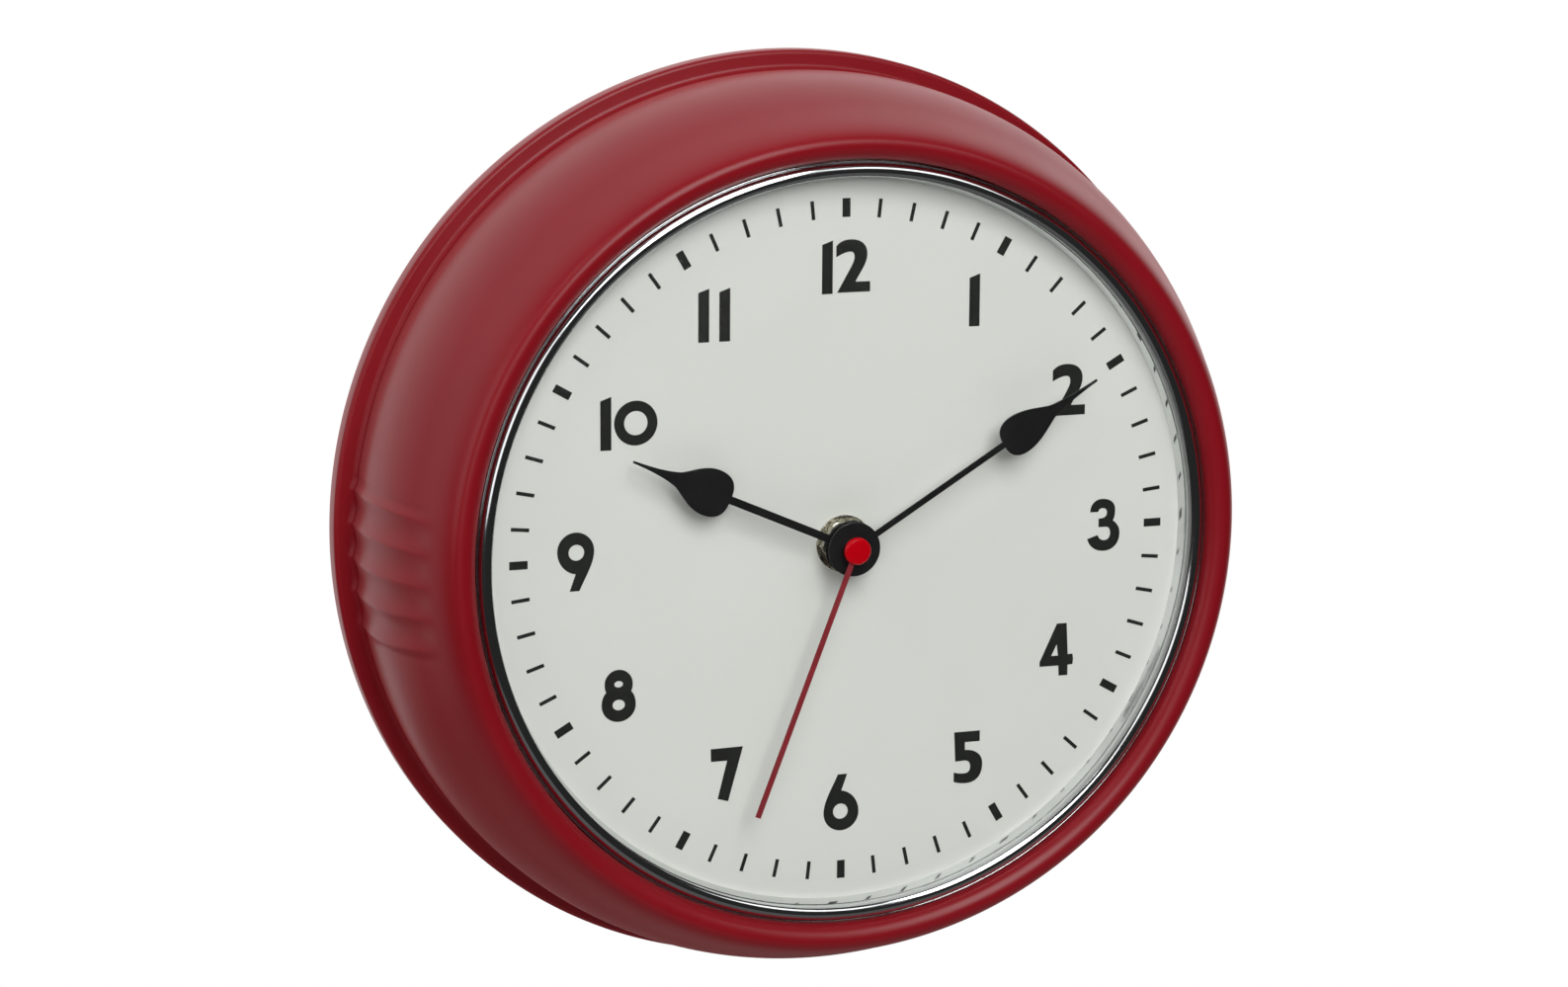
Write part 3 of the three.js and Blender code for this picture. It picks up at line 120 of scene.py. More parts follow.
class NodeBoard:
    """Puts nodes into a tree and joins their sockets."""

    def __init__(self, tree: bpy.types.NodeTree) -> None:
        """Keeps the tree that the nodes go into."""
        self.tree = tree

    def add(self, kind: str, inputs: dict | None = None, **settings: object) -> bpy.types.Node:
        """Adds a node.

        Args:
            kind: The node's Blender type name.
            inputs: Socket names or numbers, each with a value or an output to join.
            settings: The node's own properties.

        Returns:
            The new node.
        """
        node = self.tree.nodes.new(kind)
        for key, value in settings.items():
            setattr(node, key, value)
        for key, value in (inputs or {}).items():
            self.feed(value, node.inputs[key])
        return node

    def feed(self, value: object, socket: bpy.types.NodeSocket) -> None:
        """Joins an output to a socket, or sets the socket's own value."""
        if isinstance(value, bpy.types.NodeSocket):
            self.tree.links.new(value, socket)
        else:
            socket.default_value = value

    def math(self, operation: str, *values: object) -> bpy.types.NodeSocket:
        """The result of a math step on one to three values or outputs."""
        node = self.add("ShaderNodeMath", dict(enumerate(values)), operation=operation)
        return node.outputs[0]

    def span(
        self, value: object, over: tuple, onto: tuple = (0.0, 1.0), **settings: object
    ) -> bpy.types.NodeSocket:
        """Maps a value from one span onto another, held at both ends.

        Args:
            value: The value to map.
            over: Where the span starts and ends, as numbers or outputs.
            onto: What it gives there.
            settings: The map's own properties, such as its interpolation.

        Returns:
            The mapped value.
        """
        inputs = {"Value": value, "From Min": over[0], "From Max": over[1]}
        inputs |= {"To Min": onto[0], "To Max": onto[1]}
        return self.add("ShaderNodeMapRange", inputs, **settings).outputs[0]


class ShaderBoard(NodeBoard):
    """A board for shader trees."""

    def noise(self, place: object, size: object, detail: float = 2.0) -> bpy.types.NodeSocket:
        """Noise between 0 and 1 with lumps of a given size in metres."""
        scale = self.math("DIVIDE", 1.0, size)
        inputs = {"Vector": place, "Scale": scale, "Detail": detail, "Roughness": 0.55}
        return self.add("ShaderNodeTexNoise", inputs).outputs[0]


class GeometryBoard(NodeBoard):
    """A board for geometry trees, with its group's own sockets."""

    def __init__(self, name: str, base: bool = True) -> None:
        """Starts a geometry tree, with an input for the base mesh if it has one."""
        tree = bpy.data.node_groups.new(name, "GeometryNodeTree")
        super().__init__(tree)
        tree.interface.new_socket("Geometry", in_out="OUTPUT", socket_type="NodeSocketGeometry")
        if base:
            tree.interface.new_socket("Geometry", in_out="INPUT", socket_type="NodeSocketGeometry")
        self.values: dict[str, tuple[str, object]] = {}
        self.start: bpy.types.Node | None = None

    def value(self, name: str, kind: str, start: object) -> None:
        """Declares a named input of the tree and the value that this clock gives it."""
        socket = self.tree.interface.new_socket(name, in_out="INPUT", socket_type=kind)
        self.values[name] = (socket.identifier, start)

    def open(self) -> bpy.types.Node:
        """Adds the node that the tree's inputs come out of."""
        self.start = self.add("NodeGroupInput")
        return self.start

    def vector(self, x: object = 0.0, y: object = 0.0, z: object = 0.0) -> bpy.types.NodeSocket:
        """A vector put together from three values or fields."""
        return self.add("ShaderNodeCombineXYZ", {0: x, 1: y, 2: z}).outputs[0]

    def close(self, geometry: bpy.types.NodeSocket) -> None:
        """Ends the tree in Realize Instances and Set Material."""
        real = self.add("GeometryNodeRealizeInstances", {0: geometry})
        painted = self.add(
            "GeometryNodeSetMaterial", {"Geometry": real.outputs[0], "Material": self.start.outputs["Finish"]}
        )
        self.add("NodeGroupOutput", {0: painted.outputs[0]})


def grown(name: str, board: GeometryBoard, base: bpy.types.Mesh | None = None) -> bpy.types.Object:
    """Runs a geometry tree once and keeps its result as a plain mesh.

    Args:
        name: The piece's name.
        board: The finished tree with the values of its inputs.
        base: The mesh that the tree starts from, if it needs one.

    Returns:
        An object whose mesh is the tree's result, with no modifier left on it.
    """
    piece = bpy.data.objects.new(name, base or bpy.data.meshes.new(name))
    bpy.context.scene.collection.objects.link(piece)
    modifier = piece.modifiers.new(board.tree.name, "NODES")
    modifier.node_group = board.tree
    for identifier, value in board.values.values():
        modifier[identifier] = value
    graph = bpy.context.evaluated_depsgraph_get()
    mesh = bpy.data.meshes.new_from_object(piece.evaluated_get(graph), depsgraph=graph)
    piece.modifiers.remove(modifier)
    piece.data = mesh
    mesh.name = name
    return piece


# ------------------------------------------------------------------ shared shader effects


class Effects:
    """The shader node groups that the finishes share, each built once."""

    def __init__(self) -> None:
        """Builds the four groups."""
        self.mottle = self._mottle()
        self.grain = self._grain()
        self.turning = self._turning()
        self.wear = self._wear()

    @staticmethod
    def _board(name: str, inputs: Iterable[tuple[str, str]], outputs: Iterable[str]) -> ShaderBoard:
        """Starts a shader group.

        Args:
            name: The group's name.
            inputs: Names and socket kinds of its inputs.
            outputs: Names of its outputs, which are all numbers.

        Returns:
            The board to build it on.
        """
        tree = bpy.data.node_groups.new(name, "ShaderNodeTree")
        for label, kind in inputs:
            tree.interface.new_socket(label, in_out="INPUT", socket_type=kind)
        for label in outputs:
            tree.interface.new_socket(label, in_out="OUTPUT", socket_type="NodeSocketFloat")
        return ShaderBoard(tree)

    def _mottle(self) -> bpy.types.NodeTree:
        """Broad, soft unevenness of tone and of gloss."""
        kinds = [("Position", "NodeSocketVector"), ("Size", "NodeSocketFloat")]
        board = self._board("soft_mottle", kinds, ["Tone", "Gloss"])
        start = board.add("NodeGroupInput")
        tone = board.noise(start.outputs["Position"], start.outputs["Size"], 3.0)
        finer = board.math("MULTIPLY", start.outputs["Size"], 0.37)
        moved = board.add("ShaderNodeVectorMath", {0: start.outputs["Position"], 1: (0.31, 0.17, 0.73)})
        gloss = board.noise(moved.outputs[0], finer, 4.0)
        board.add("NodeGroupOutput", {"Tone": tone, "Gloss": gloss})
        return board.tree

    def _grain(self) -> bpy.types.NodeTree:
        """A fine all-over relief, as of sprayed paint or spark-eroded plastic."""
        kinds = [("Position", "NodeSocketVector"), ("Size", "NodeSocketFloat"), ("Depth", "NodeSocketFloat")]
        board = self._board("fine_grain", kinds, ["Height"])
        start = board.add("NodeGroupInput")
        lumps = board.noise(start.outputs["Position"], start.outputs["Size"], 2.0)
        height = board.math("MULTIPLY", lumps, start.outputs["Depth"])
        board.add("NodeGroupOutput", {"Height": height})
        return board.tree

    def _turning(self) -> bpy.types.NodeTree:
        """Fine rings round the Y axis of the position, as a lathe tool leaves."""
        kinds = [("Position", "NodeSocketVector"), ("Pitch", "NodeSocketFloat"), ("Depth", "NodeSocketFloat")]
        board = self._board("turning_rings", kinds, ["Height", "Streak"])
        start = board.add("NodeGroupInput")
        parts = board.add("ShaderNodeSeparateXYZ", {0: start.outputs["Position"]})
        x, z = parts.outputs["X"], parts.outputs["Z"]
        radius = board.math("SQRT", board.math("MULTIPLY_ADD", z, z, board.math("MULTIPLY", x, x)))
        place = board.add("ShaderNodeCombineXYZ", {0: radius, 1: parts.outputs["Y"]})
        rings = board.noise(place.outputs[0], start.outputs["Pitch"], 3.0)
        height = board.math("MULTIPLY", rings, start.outputs["Depth"])
        board.add("NodeGroupOutput", {"Height": height, "Streak": rings})
        return board.tree

    def _wear(self) -> bpy.types.NodeTree:
        """Rubbed spots on outer edges, broken up by noise."""
        kinds = [("Position", "NodeSocketVector"), ("Edge", "NodeSocketFloat"), ("Amount", "NodeSocketFloat")]
        board = self._board("edge_wear", kinds, ["Mask"])
        start = board.add("NodeGroupInput")
        sharp = board.span(start.outputs["Edge"], (0.54, 0.66))
        broken = board.noise(start.outputs["Position"], 0.004, 4.0)
        both = board.math("MULTIPLY", sharp, board.span(broken, (0.5, 0.62)))
        board.add("NodeGroupOutput", {"Mask": board.math("MULTIPLY", both, start.outputs["Amount"])})
        return board.tree


# ------------------------------------------------------------------ finishes


@dataclass(frozen=True)
class Finish:
    """A surface finish. Lengths are metres and strengths are shares of 1."""

    name: str
    colour: Colour
    roughness: float = 0.45
    metallic: float = 0.0
    tint: float = 0.06
    mottle_size: float = 0.03
    gloss_spread: float = 0.06
    grain_size: float = 0.0008
    grain_depth: float = 0.000004
    turning_pitch: float = 0.0004
    turning_depth: float = 0.0
    wear: float = 0.0
    wear_colour: Colour = (0.5, 0.5, 0.5)
    coat: float = 0.0
    coat_roughness: float = 0.1
    specular: float = 0.5
    sheen: float = 0.0
    sheen_tint: Colour = (1.0, 1.0, 1.0)

    def material(self, effects: Effects) -> bpy.types.Material:
        """Builds the finish's material from the shared effects.

        Args:
            effects: The shared shader groups.

        Returns:
            The new material.
        """
        material = bpy.data.materials.new(self.name)
        material.use_nodes = True
        material.node_tree.nodes.clear()
        board = ShaderBoard(material.node_tree)
        shader = self.shader(board, effects)
        self.output(board, shader)
        material.diffuse_color = (*self.colour, 1.0)
        return material

    def output(self, board: ShaderBoard, shader: bpy.types.Node) -> None:
        """Joins the shader to the material's surface."""
        board.add("ShaderNodeOutputMaterial", {"Surface": shader.outputs[0]})

    def place(self, board: ShaderBoard) -> bpy.types.NodeSocket:
        """The surface's own position in metres."""
        return board.add("ShaderNodeTexCoord").outputs["Object"]

    def base_colour(self, board: ShaderBoard, place: object, tone: object) -> bpy.types.NodeSocket:
        """The colour, a little darker and lighter with the mottle's tone."""
        dark = (*(c * (1 - self.tint) for c in self.colour), 1.0)
        light = (*(min(1.0, c * (1 + self.tint)) for c in self.colour), 1.0)
        return mix_colour(board, board.span(tone, NOISE_SPAN), dark, light)

    def shader(self, board: ShaderBoard, effects: Effects) -> bpy.types.Node:
        """The Principled shader with its varying colour, gloss and relief."""
        place = self.place(board)
        mottle = board.add("ShaderNodeGroup", node_tree=effects.mottle)
        board.feed(place, mottle.inputs["Position"])
        mottle.inputs["Size"].default_value = self.mottle_size
        colour = self.base_colour(board, place, mottle.outputs["Tone"])
        low, high = self.roughness - self.gloss_spread, self.roughness + self.gloss_spread
        gloss = board.span(mottle.outputs["Gloss"], NOISE_SPAN, (low, high))
        if self.wear > 0:
            colour = self.worn(board, effects, place, colour)
        relief = self.relief(board, effects, place)
        return board.add(
            "ShaderNodeBsdfPrincipled",
            {
                "Base Color": colour,
                "Roughness": gloss,
                "Metallic": self.metallic,
                "Normal": relief,
                "Coat Weight": self.coat,
                "Coat Roughness": self.coat_roughness,
                "Specular IOR Level": self.specular,
                "Sheen Weight": self.sheen,
                "Sheen Roughness": 0.4,
                "Sheen Tint": (*self.sheen_tint, 1.0),
            },
        )

    def worn(
        self, board: ShaderBoard, effects: Effects, place: object, colour: object
    ) -> bpy.types.NodeSocket:
        """Mixes the rubbed edges' colour into the surface's."""
        edge = board.add("ShaderNodeNewGeometry").outputs["Pointiness"]
        wear = board.add("ShaderNodeGroup", node_tree=effects.wear)
        board.feed(place, wear.inputs["Position"])
        board.feed(edge, wear.inputs["Edge"])
        wear.inputs["Amount"].default_value = self.wear
        return mix_colour(board, wear.outputs["Mask"], colour, (*self.wear_colour, 1.0))

    def relief(self, board: ShaderBoard, effects: Effects, place: object) -> bpy.types.NodeSocket:
        """The bumped normal: the grain, and the turning rings if the finish has them."""
        grain = board.add("ShaderNodeGroup", node_tree=effects.grain)
        board.feed(place, grain.inputs["Position"])
        grain.inputs["Size"].default_value = self.grain_size
        grain.inputs["Depth"].default_value = self.grain_depth
        height = grain.outputs["Height"]
        if self.turning_depth > 0:
            turning = board.add("ShaderNodeGroup", node_tree=effects.turning)
            board.feed(place, turning.inputs["Position"])
            turning.inputs["Pitch"].default_value = self.turning_pitch
            turning.inputs["Depth"].default_value = self.turning_depth
            height = board.math("ADD", height, turning.outputs["Height"])
        bump = board.add("ShaderNodeBump", {"Height": height, "Strength": 1.0, "Distance": 1.0})
        return bump.outputs["Normal"]


def mix_colour(board: ShaderBoard, share: object, first: object, second: object) -> bpy.types.NodeSocket:
    """Mixes two colours by the second one's share."""
    return board.add("ShaderNodeMix", {0: share, 6: first, 7: second}, data_type="RGBA").outputs[2]


@dataclass(frozen=True)
class ClearFinish(Finish):
    """Clear moulded plastic that lets light and shadows through."""

    ior: float = 1.04

    def shader(self, board: ShaderBoard, effects: Effects) -> bpy.types.Node:
        """A clear shader, with faint smears in its gloss and its relief."""
        shader = super().shader(board, effects)
        shader.inputs["Transmission Weight"].default_value = 1.0
        shader.inputs["IOR"].default_value = self.ior
        return shader

    def output(self, board: ShaderBoard, shader: bpy.types.Node) -> None:
        """Lets shadow and diffuse rays pass straight through."""
        rays = board.add("ShaderNodeLightPath")
        soft = board.math("MAXIMUM", rays.outputs["Is Shadow Ray"], rays.outputs["Is Diffuse Ray"])
        open_air = board.add("ShaderNodeBsdfTransparent")
        inputs = {0: soft, 1: shader.outputs[0], 2: open_air.outputs[0]}
        mixed = board.add("ShaderNodeMixShader", inputs)
        board.add("ShaderNodeOutputMaterial", {"Surface": mixed.outputs[0]})


@dataclass(frozen=True)
class BandedFinish(Finish):
    """A finish with a second colour beyond a place along X, as on a cell's sleeve."""

    band_from: float = 0.0
    band_colour: Colour = (0.5, 0.5, 0.5)

    def base_colour(self, board: ShaderBoard, place: object, tone: object) -> bpy.types.NodeSocket:
        """The sleeve's two colours, split across the cell."""
        plain = super().base_colour(board, place, tone)
        parts = board.add("ShaderNodeSeparateXYZ", {0: place})
        beyond = board.math("GREATER_THAN", parts.outputs["X"], self.band_from)
        return mix_colour(board, beyond, plain, (*self.band_colour, 1.0))


@dataclass(frozen=True)
class WoundFinish(Finish):
    """Enamelled wire wound side by side round a coil that lies along X."""

    wire: float = 0.00016

    def relief(self, board: ShaderBoard, effects: Effects, place: object) -> bpy.types.NodeSocket:
        """The turns of wire as a row of round ridges."""
        parts = board.add("ShaderNodeSeparateXYZ", {0: place})
        turn = board.math("MULTIPLY", parts.outputs["X"], math.tau / self.wire)
        ridge = board.math("ABSOLUTE", board.math("SINE", board.math("MULTIPLY", turn, 0.5)))
        height = board.math("MULTIPLY", ridge, self.wire * 0.3)
        return board.add("ShaderNodeBump", {"Height": height, "Distance": 1.0}).outputs["Normal"]


class Paint(Enum):
    """Every finish on the clock."""

    CASE = Finish(
        "satin_red_enamel", (0.225, 0.0028, 0.0085), roughness=0.34, tint=0.05, mottle_size=0.05,
        gloss_spread=0.02, grain_size=0.0011, grain_depth=0.0000035, specular=0.3, sheen=0.3,
        sheen_tint=(1.0, 0.3, 0.3),
    )
    CHROME = Finish(
        "polished_chrome", (0.62, 0.63, 0.64), roughness=0.1, metallic=1.0, tint=0.02,
        gloss_spread=0.02, grain_depth=0.0000002, turning_depth=0.0000002, turning_pitch=0.0006,
    )
    MIRROR = Finish(
        "bright_inner_ring", (0.74, 0.76, 0.75), roughness=0.07, metallic=1.0, tint=0.02,
        gloss_spread=0.02, grain_depth=0.0000002, turning_depth=0.0000004,
    )
    LENS = ClearFinish(
        "clear_lens", (1.0, 1.0, 1.0), roughness=0.01, tint=0.002, gloss_spread=0.006,
        grain_size=0.01, grain_depth=0.0000001,
    )
    GASKET = Finish("gasket_silicone", (0.5, 0.52, 0.5), roughness=0.5, grain_depth=0.00001)
    DIAL = Finish(
        "dial_enamel", (0.69, 0.71, 0.665), roughness=0.5, tint=0.012, mottle_size=0.05,
        gloss_spread=0.04, grain_size=0.0005, grain_depth=0.000002, specular=0.3,
    )
    INK = Finish(
        "dial_ink", (0.014, 0.015, 0.013), roughness=0.5, tint=0.12, mottle_size=0.004,
        grain_size=0.0003, grain_depth=0.000004, specular=0.15,
    )
    # The grey mixed into the hands' sharp edges is partly wear to bare metal and partly a painted highlight:
    # the thin bright line that the edges catch is painted into their colour.
    BLACK_HAND = Finish(
        "black_hand_lacquer", (0.0075, 0.0075, 0.0078), roughness=0.45, tint=0.1, mottle_size=0.01,
        grain_size=0.0003, grain_depth=0.0000005, wear=0.5, wear_colour=(0.25, 0.25, 0.25), specular=0.12,
        coat=0.35, coat_roughness=0.1,
    )
    RED_HAND = Finish(
        "red_hand_lacquer", (0.2, 0.011, 0.017), roughness=0.42, tint=0.08, mottle_size=0.008,
        grain_depth=0.000002, wear=0.3, wear_colour=(0.4, 0.12, 0.1),
    )
    CAP = Finish(
        "cap_lacquer", (0.46, 0.0003, 0.005), roughness=0.2, specular=0.2, tint=0.04, mottle_size=0.004,
        grain_size=0.0004, grain_depth=0.000001,
    )
    BRASS = Finish(
        "dull_brass", (0.4, 0.385, 0.31), roughness=0.26, metallic=1.0, tint=0.12, mottle_size=0.003,
        turning_depth=0.0000008, turning_pitch=0.00025, wear=0.2, wear_colour=(0.8, 0.75, 0.6),
    )
    BODY_PLASTIC = Finish(
        "moulded_black", (0.016, 0.016, 0.017), roughness=0.5, tint=0.1, grain_size=0.0003,
        grain_depth=0.000012,
    )
    WHEEL_PLASTIC = Finish("cream_acetal", (0.72, 0.70, 0.62), roughness=0.42, tint=0.04, mottle_size=0.006)
    KNOB_PLASTIC = Finish(
        "moulded_cream", (0.62, 0.6, 0.54), roughness=0.45, tint=0.06, mottle_size=0.004, wear=0.5,
        wear_colour=(0.3, 0.28, 0.24),
    )
    STEEL = Finish(
        "bright_steel", (0.52, 0.52, 0.53), roughness=0.3, metallic=1.0, tint=0.08, mottle_size=0.006,
        grain_size=0.0002, grain_depth=0.000003,
    )
    ZINC = Finish(
        "zinc_plate", (0.5, 0.51, 0.52), roughness=0.38, metallic=1.0, tint=0.14, mottle_size=0.004,
        gloss_spread=0.1, grain_size=0.0006, grain_depth=0.000006, wear=0.4, wear_colour=(0.75, 0.75, 0.75),
    )
    MAGNET = Finish("sintered_magnet", (0.06, 0.06, 0.065), roughness=0.5, metallic=0.8, grain_depth=0.00001)
    COPPER = WoundFinish("enamelled_wire", (0.48, 0.14, 0.05), roughness=0.3, metallic=1.0, tint=0.1)
    BOARD = Finish(
        "solder_mask", (0.02, 0.1, 0.035), roughness=0.35, tint=0.14, mottle_size=0.002,
        grain_size=0.0005, grain_depth=0.00001,
    )
    RESIN = Finish(
        "black_epoxy", (0.008, 0.008, 0.008), roughness=0.4, grain_size=0.0002, grain_depth=0.000006
    )
    CELL = BandedFinish(
        "cell_sleeve", (0.035, 0.07, 0.13), roughness=0.28, tint=0.05, coat=0.3,
        band_from=0.0135, band_colour=(0.42, 0.43, 0.44), metallic=0.35,
    )
    COVER = Finish(
        "black_powder_coat", (0.012, 0.012, 0.013), roughness=0.55, tint=0.12, mottle_size=0.04,
        grain_size=0.0007, grain_depth=0.00004, wear=0.5, wear_colour=(0.08, 0.08, 0.08),
    )


class Workshop:
    """Makes meshes, dresses them and hands them to the frame."""

    def __init__(self) -> None:
        """Builds the shared effects and an empty shelf of materials."""
        self.effects = Effects()
        self.shelf: dict[Paint, bpy.types.Material] = {}

    def paint(self, finish: Paint) -> bpy.types.Material:
        """The material of a finish, built the first time it is wanted."""
        if finish not in self.shelf:
            self.shelf[finish] = finish.value.material(self.effects)
        return self.shelf[finish]

    def link(self, name: str, mesh: bpy.types.Mesh) -> bpy.types.Object:
        """Puts a mesh into the scene as an object at the origin."""
        piece = bpy.data.objects.new(name, mesh)
        bpy.context.scene.collection.objects.link(piece)
        return piece

    def from_bmesh(self, name: str, work: bmesh.types.BMesh, level: bool = False) -> bpy.types.Mesh:
        """Ends a bmesh as a mesh with smooth faces and sharp creases.

        Args:
            name: The mesh's name.
            work: The bmesh, freed here.
            level: True to keep the faces that lie square to Y flat.

        Returns:
            The mesh.
        """
        mesh = bpy.data.meshes.new(name)
        work.to_mesh(mesh)
        work.free()
        mesh.shade_smooth()
        mesh.set_sharp_from_angle(angle=SMOOTH_ANGLE)
        if level:
            for polygon in mesh.polygons:
                polygon.use_smooth = abs(polygon.normal.y) < 0.999999
        return mesh

    def turned(
        self,
        name: str,
        profile: Sequence[Point],
        angles: Sequence[float] | None = None,
        at: Point = (0.0, 0.0),
    ) -> bpy.types.Mesh:
        """Turns a closed profile round the Y axis.

        Args:
            name: The mesh's name.
            profile: Radius and y of each corner in millimetres, closed on itself.
            angles: Degrees round the axis from +X; even steps if left out.
            at: The x and z of the axis in millimetres.

        Returns:
            A closed mesh with its faces outwards.
        """
        turns = angles or even_turns(FINE_STEPS)
        work = bmesh.new()
        rings = []
        for angle in turns:
            c, s = math.cos(math.radians(angle)), math.sin(math.radians(angle))
            corners = [Vector((at[0] + r * c, y, at[1] + r * s)) * MM for r, y in profile]
            rings.append([work.verts.new(corner) for corner in corners])
        count = len(profile)
        for i, ring in enumerate(rings):
            following = rings[(i + 1) % len(rings)]
            for j in range(count):
                k = (j + 1) % count
                if profile[j][0] < 1e-6 and profile[k][0] < 1e-6:
                    continue
                work.faces.new((ring[j], ring[k], following[k], following[j]))
        bmesh.ops.remove_doubles(work, verts=work.verts, dist=1e-8)
        bmesh.ops.dissolve_degenerate(work, dist=1e-9, edges=work.edges)
        bmesh.ops.recalc_face_normals(work, faces=work.faces)
        return self.from_bmesh(name, work)

    def flat(
        self,
        name: str,
        outlines: Sequence[Sequence[Point]],
        front: float,
        back: float,
        round_off: float = 0.0,
    ) -> bpy.types.Mesh:
        """Gives flat outlines in X and Z a thickness along Y.

        Args:
            name: The mesh's name.
            outlines: Closed outlines in millimetres; one inside another is a hole.
            front: The lower y in millimetres.
            back: The higher y in millimetres.
            round_off: How far the edges are rounded off, in millimetres.

        Returns:
            A closed mesh.
        """
        curve = bpy.data.curves.new(name, "CURVE")
        curve.dimensions = "2D"
        curve.fill_mode = "BOTH"
        for outline in outlines:
            spline = curve.splines.new("POLY")
            spline.points.add(len(outline) - 1)
            for point, (x, z) in zip(spline.points, outline):
                point.co = (x * MM, z * MM, 0.0, 1.0)
            spline.use_cyclic_u = True
        curve.extrude = ((back - front) / 2 - round_off) * MM
        if round_off:
            curve.bevel_depth = round_off * MM
            curve.bevel_resolution = 2
            curve.offset = -round_off * MM
        holder = self.link(name, curve)
        graph = bpy.context.evaluated_depsgraph_get()
        mesh = bpy.data.meshes.new_from_object(holder.evaluated_get(graph), depsgraph=graph)
        bpy.data.objects.remove(holder)
        bpy.data.curves.remove(curve)
        place = Matrix.Translation((0.0, (front + back) / 2 * MM, 0.0)) @ Matrix.Rotation(math.pi / 2, 4, "X")
        mesh.transform(place)
        work = bmesh.new()
        work.from_mesh(mesh)
        bmesh.ops.remove_doubles(work, verts=work.verts, dist=1e-7)
        bmesh.ops.recalc_face_normals(work, faces=work.faces)
        bpy.data.meshes.remove(mesh)
        return self.from_bmesh(name, work, level=True)

    def eased(self, name: str, node: str, width: float) -> bpy.types.Mesh:
        """A copy of a node's mesh with its sharp edges eased.

        Args:
            name: The mesh's name.
            node: The CAD node to copy.
            width: The width of the eased edges in millimetres.

        Returns:
            The copy, merged and with rounded edges.
        """
        work = bmesh.new()
        work.from_mesh(frame["nodes"][node].data)
        bmesh.ops.remove_doubles(work, verts=work.verts, dist=2e-6)
        bmesh.ops.dissolve_limit(work, angle_limit=math.radians(0.5), verts=work.verts, edges=work.edges)
        sharp = [e for e in work.edges if len(e.link_faces) == 2 and e.calc_face_angle(0) > SMOOTH_ANGLE]
        bmesh.ops.bevel(
            work, geom=sharp, offset=width * MM, offset_type="OFFSET", segments=2, profile=0.5,
            affect="EDGES", clamp_overlap=True,
        )
        bmesh.ops.remove_doubles(work, verts=work.verts, dist=1e-7)
        return self.from_bmesh(name, work, level=True)

    def joined(self, name: str, meshes: Sequence[bpy.types.Mesh]) -> bpy.types.Mesh:
        """Puts several meshes into one."""
        work = bmesh.new()
        for mesh in meshes:
            work.from_mesh(mesh)
            bpy.data.meshes.remove(mesh)
        return self.from_bmesh(name, work, level=True)

    def finish(self, mesh: bpy.types.Mesh, paint: Paint, slot: str | None, *nodes: str) -> None:
        """Dresses a mesh and hands it to the frame.

        Args:
            mesh: The finished mesh, whose name becomes the piece's.
            paint: Its finish.
            slot: The record's material slot, if one stands for it; not used.
            nodes: The CAD nodes that it stands for; without any it rides on the case.
        """
        mesh.materials.clear()
        mesh.materials.append(self.paint(paint))
        self.hand_over(self.link(mesh.name, mesh), slot, *nodes)

    def hand_over(self, piece: bpy.types.Object, slot: str | None, *nodes: str) -> None:
        """Makes a dressed piece ride on its body and stand for its nodes."""
        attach(piece, body_of(nodes[0]) if nodes else "case")
        if nodes:
            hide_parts(*nodes)


# ------------------------------------------------------------------ outlines


def even_turns(count: int) -> list[float]:
    """Even steps round a full turn, in degrees."""
    return [360 * i / count for i in range(count)]


def circle(x: float, z: float, radius: float, steps: int = 24) -> list[Point]:
    """A closed circle."""
    return oval(x, z, radius, radius, steps)


def arc(x: float, y: float, radius: float, start: float, end: float, steps: int) -> list[Point]:
    """Points on an arc, angles in degrees, both ends among them."""
    turns = [math.radians(start + (end - start) * i / steps) for i in range(steps + 1)]
    return [(x + radius * math.cos(a), y + radius * math.sin(a)) for a in turns]


def bezier(a: Point, b: Point, c: Point, d: Point, steps: int) -> list[Point]:
    """Points on a cubic curve, without its first."""
    points = []
    for i in range(1, steps + 1):
        t = i / steps
        shares = ((1 - t) ** 3, 3 * t * (1 - t) ** 2, 3 * t * t * (1 - t), t**3)
        points.append(tuple(sum(s * p[k] for s, p in zip(shares, (a, b, c, d))) for k in (0, 1)))
    return points


def drawn(start: Point, *moves: tuple[float, ...], steps: int = 10) -> list[Point]:
    """An outline from a start and moves.

    Args:
        start: The first point.
        moves: A pair for a straight line, or six numbers for a curve with two handles.
        steps: Points in each curve.

    Returns:
        The outline's points.
    """
    points = [start]
    for move in moves:
        if len(move) == 2:
            points.append((move[0], move[1]))
        else:
            points += bezier(points[-1], move[0:2], move[2:4], move[4:6], steps)
    return points


def oval(x: float, z: float, half_x: float, half_z: float, steps: int = 40) -> list[Point]:
    """A closed ellipse."""
    turns = [math.tau * i / steps for i in range(steps)]
    return [(x + half_x * math.cos(a), z + half_z * math.sin(a)) for a in turns]


def round_box(low: Point, high: Point, radius: float, steps: int = 8) -> list[Point]:
    """A rectangle with round corners between two corners."""
    (x0, z0), (x1, z1) = low, high
    return (
        arc(x1 - radius, z0 + radius, radius, -90, 0, steps)
        + arc(x1 - radius, z1 - radius, radius, 0, 90, steps)
        + arc(x0 + radius, z1 - radius, radius, 90, 180, steps)
        + arc(x0 + radius, z0 + radius, radius, 180, 270, steps)
    )


def offset_line(points: Sequence[Point], distance: float) -> list[Point]:
    """The same line set off to its left by a distance, with mitred corners."""
    line = [Vector(p) for p in points]
    moved = []
    for i, point in enumerate(line):
        before = (point - line[i - 1]).normalized() if i else None
        after = (line[i + 1] - point).normalized() if i < len(line) - 1 else None
        first, second = before or after, after or before
        normal = Vector((-first.y - second.y, first.x + second.x)).normalized()
        reach = distance / max(0.3, normal.dot(Vector((-first.y, first.x))))
        moved.append(tuple(point + normal * reach))
    return moved


# ------------------------------------------------------------------ the case


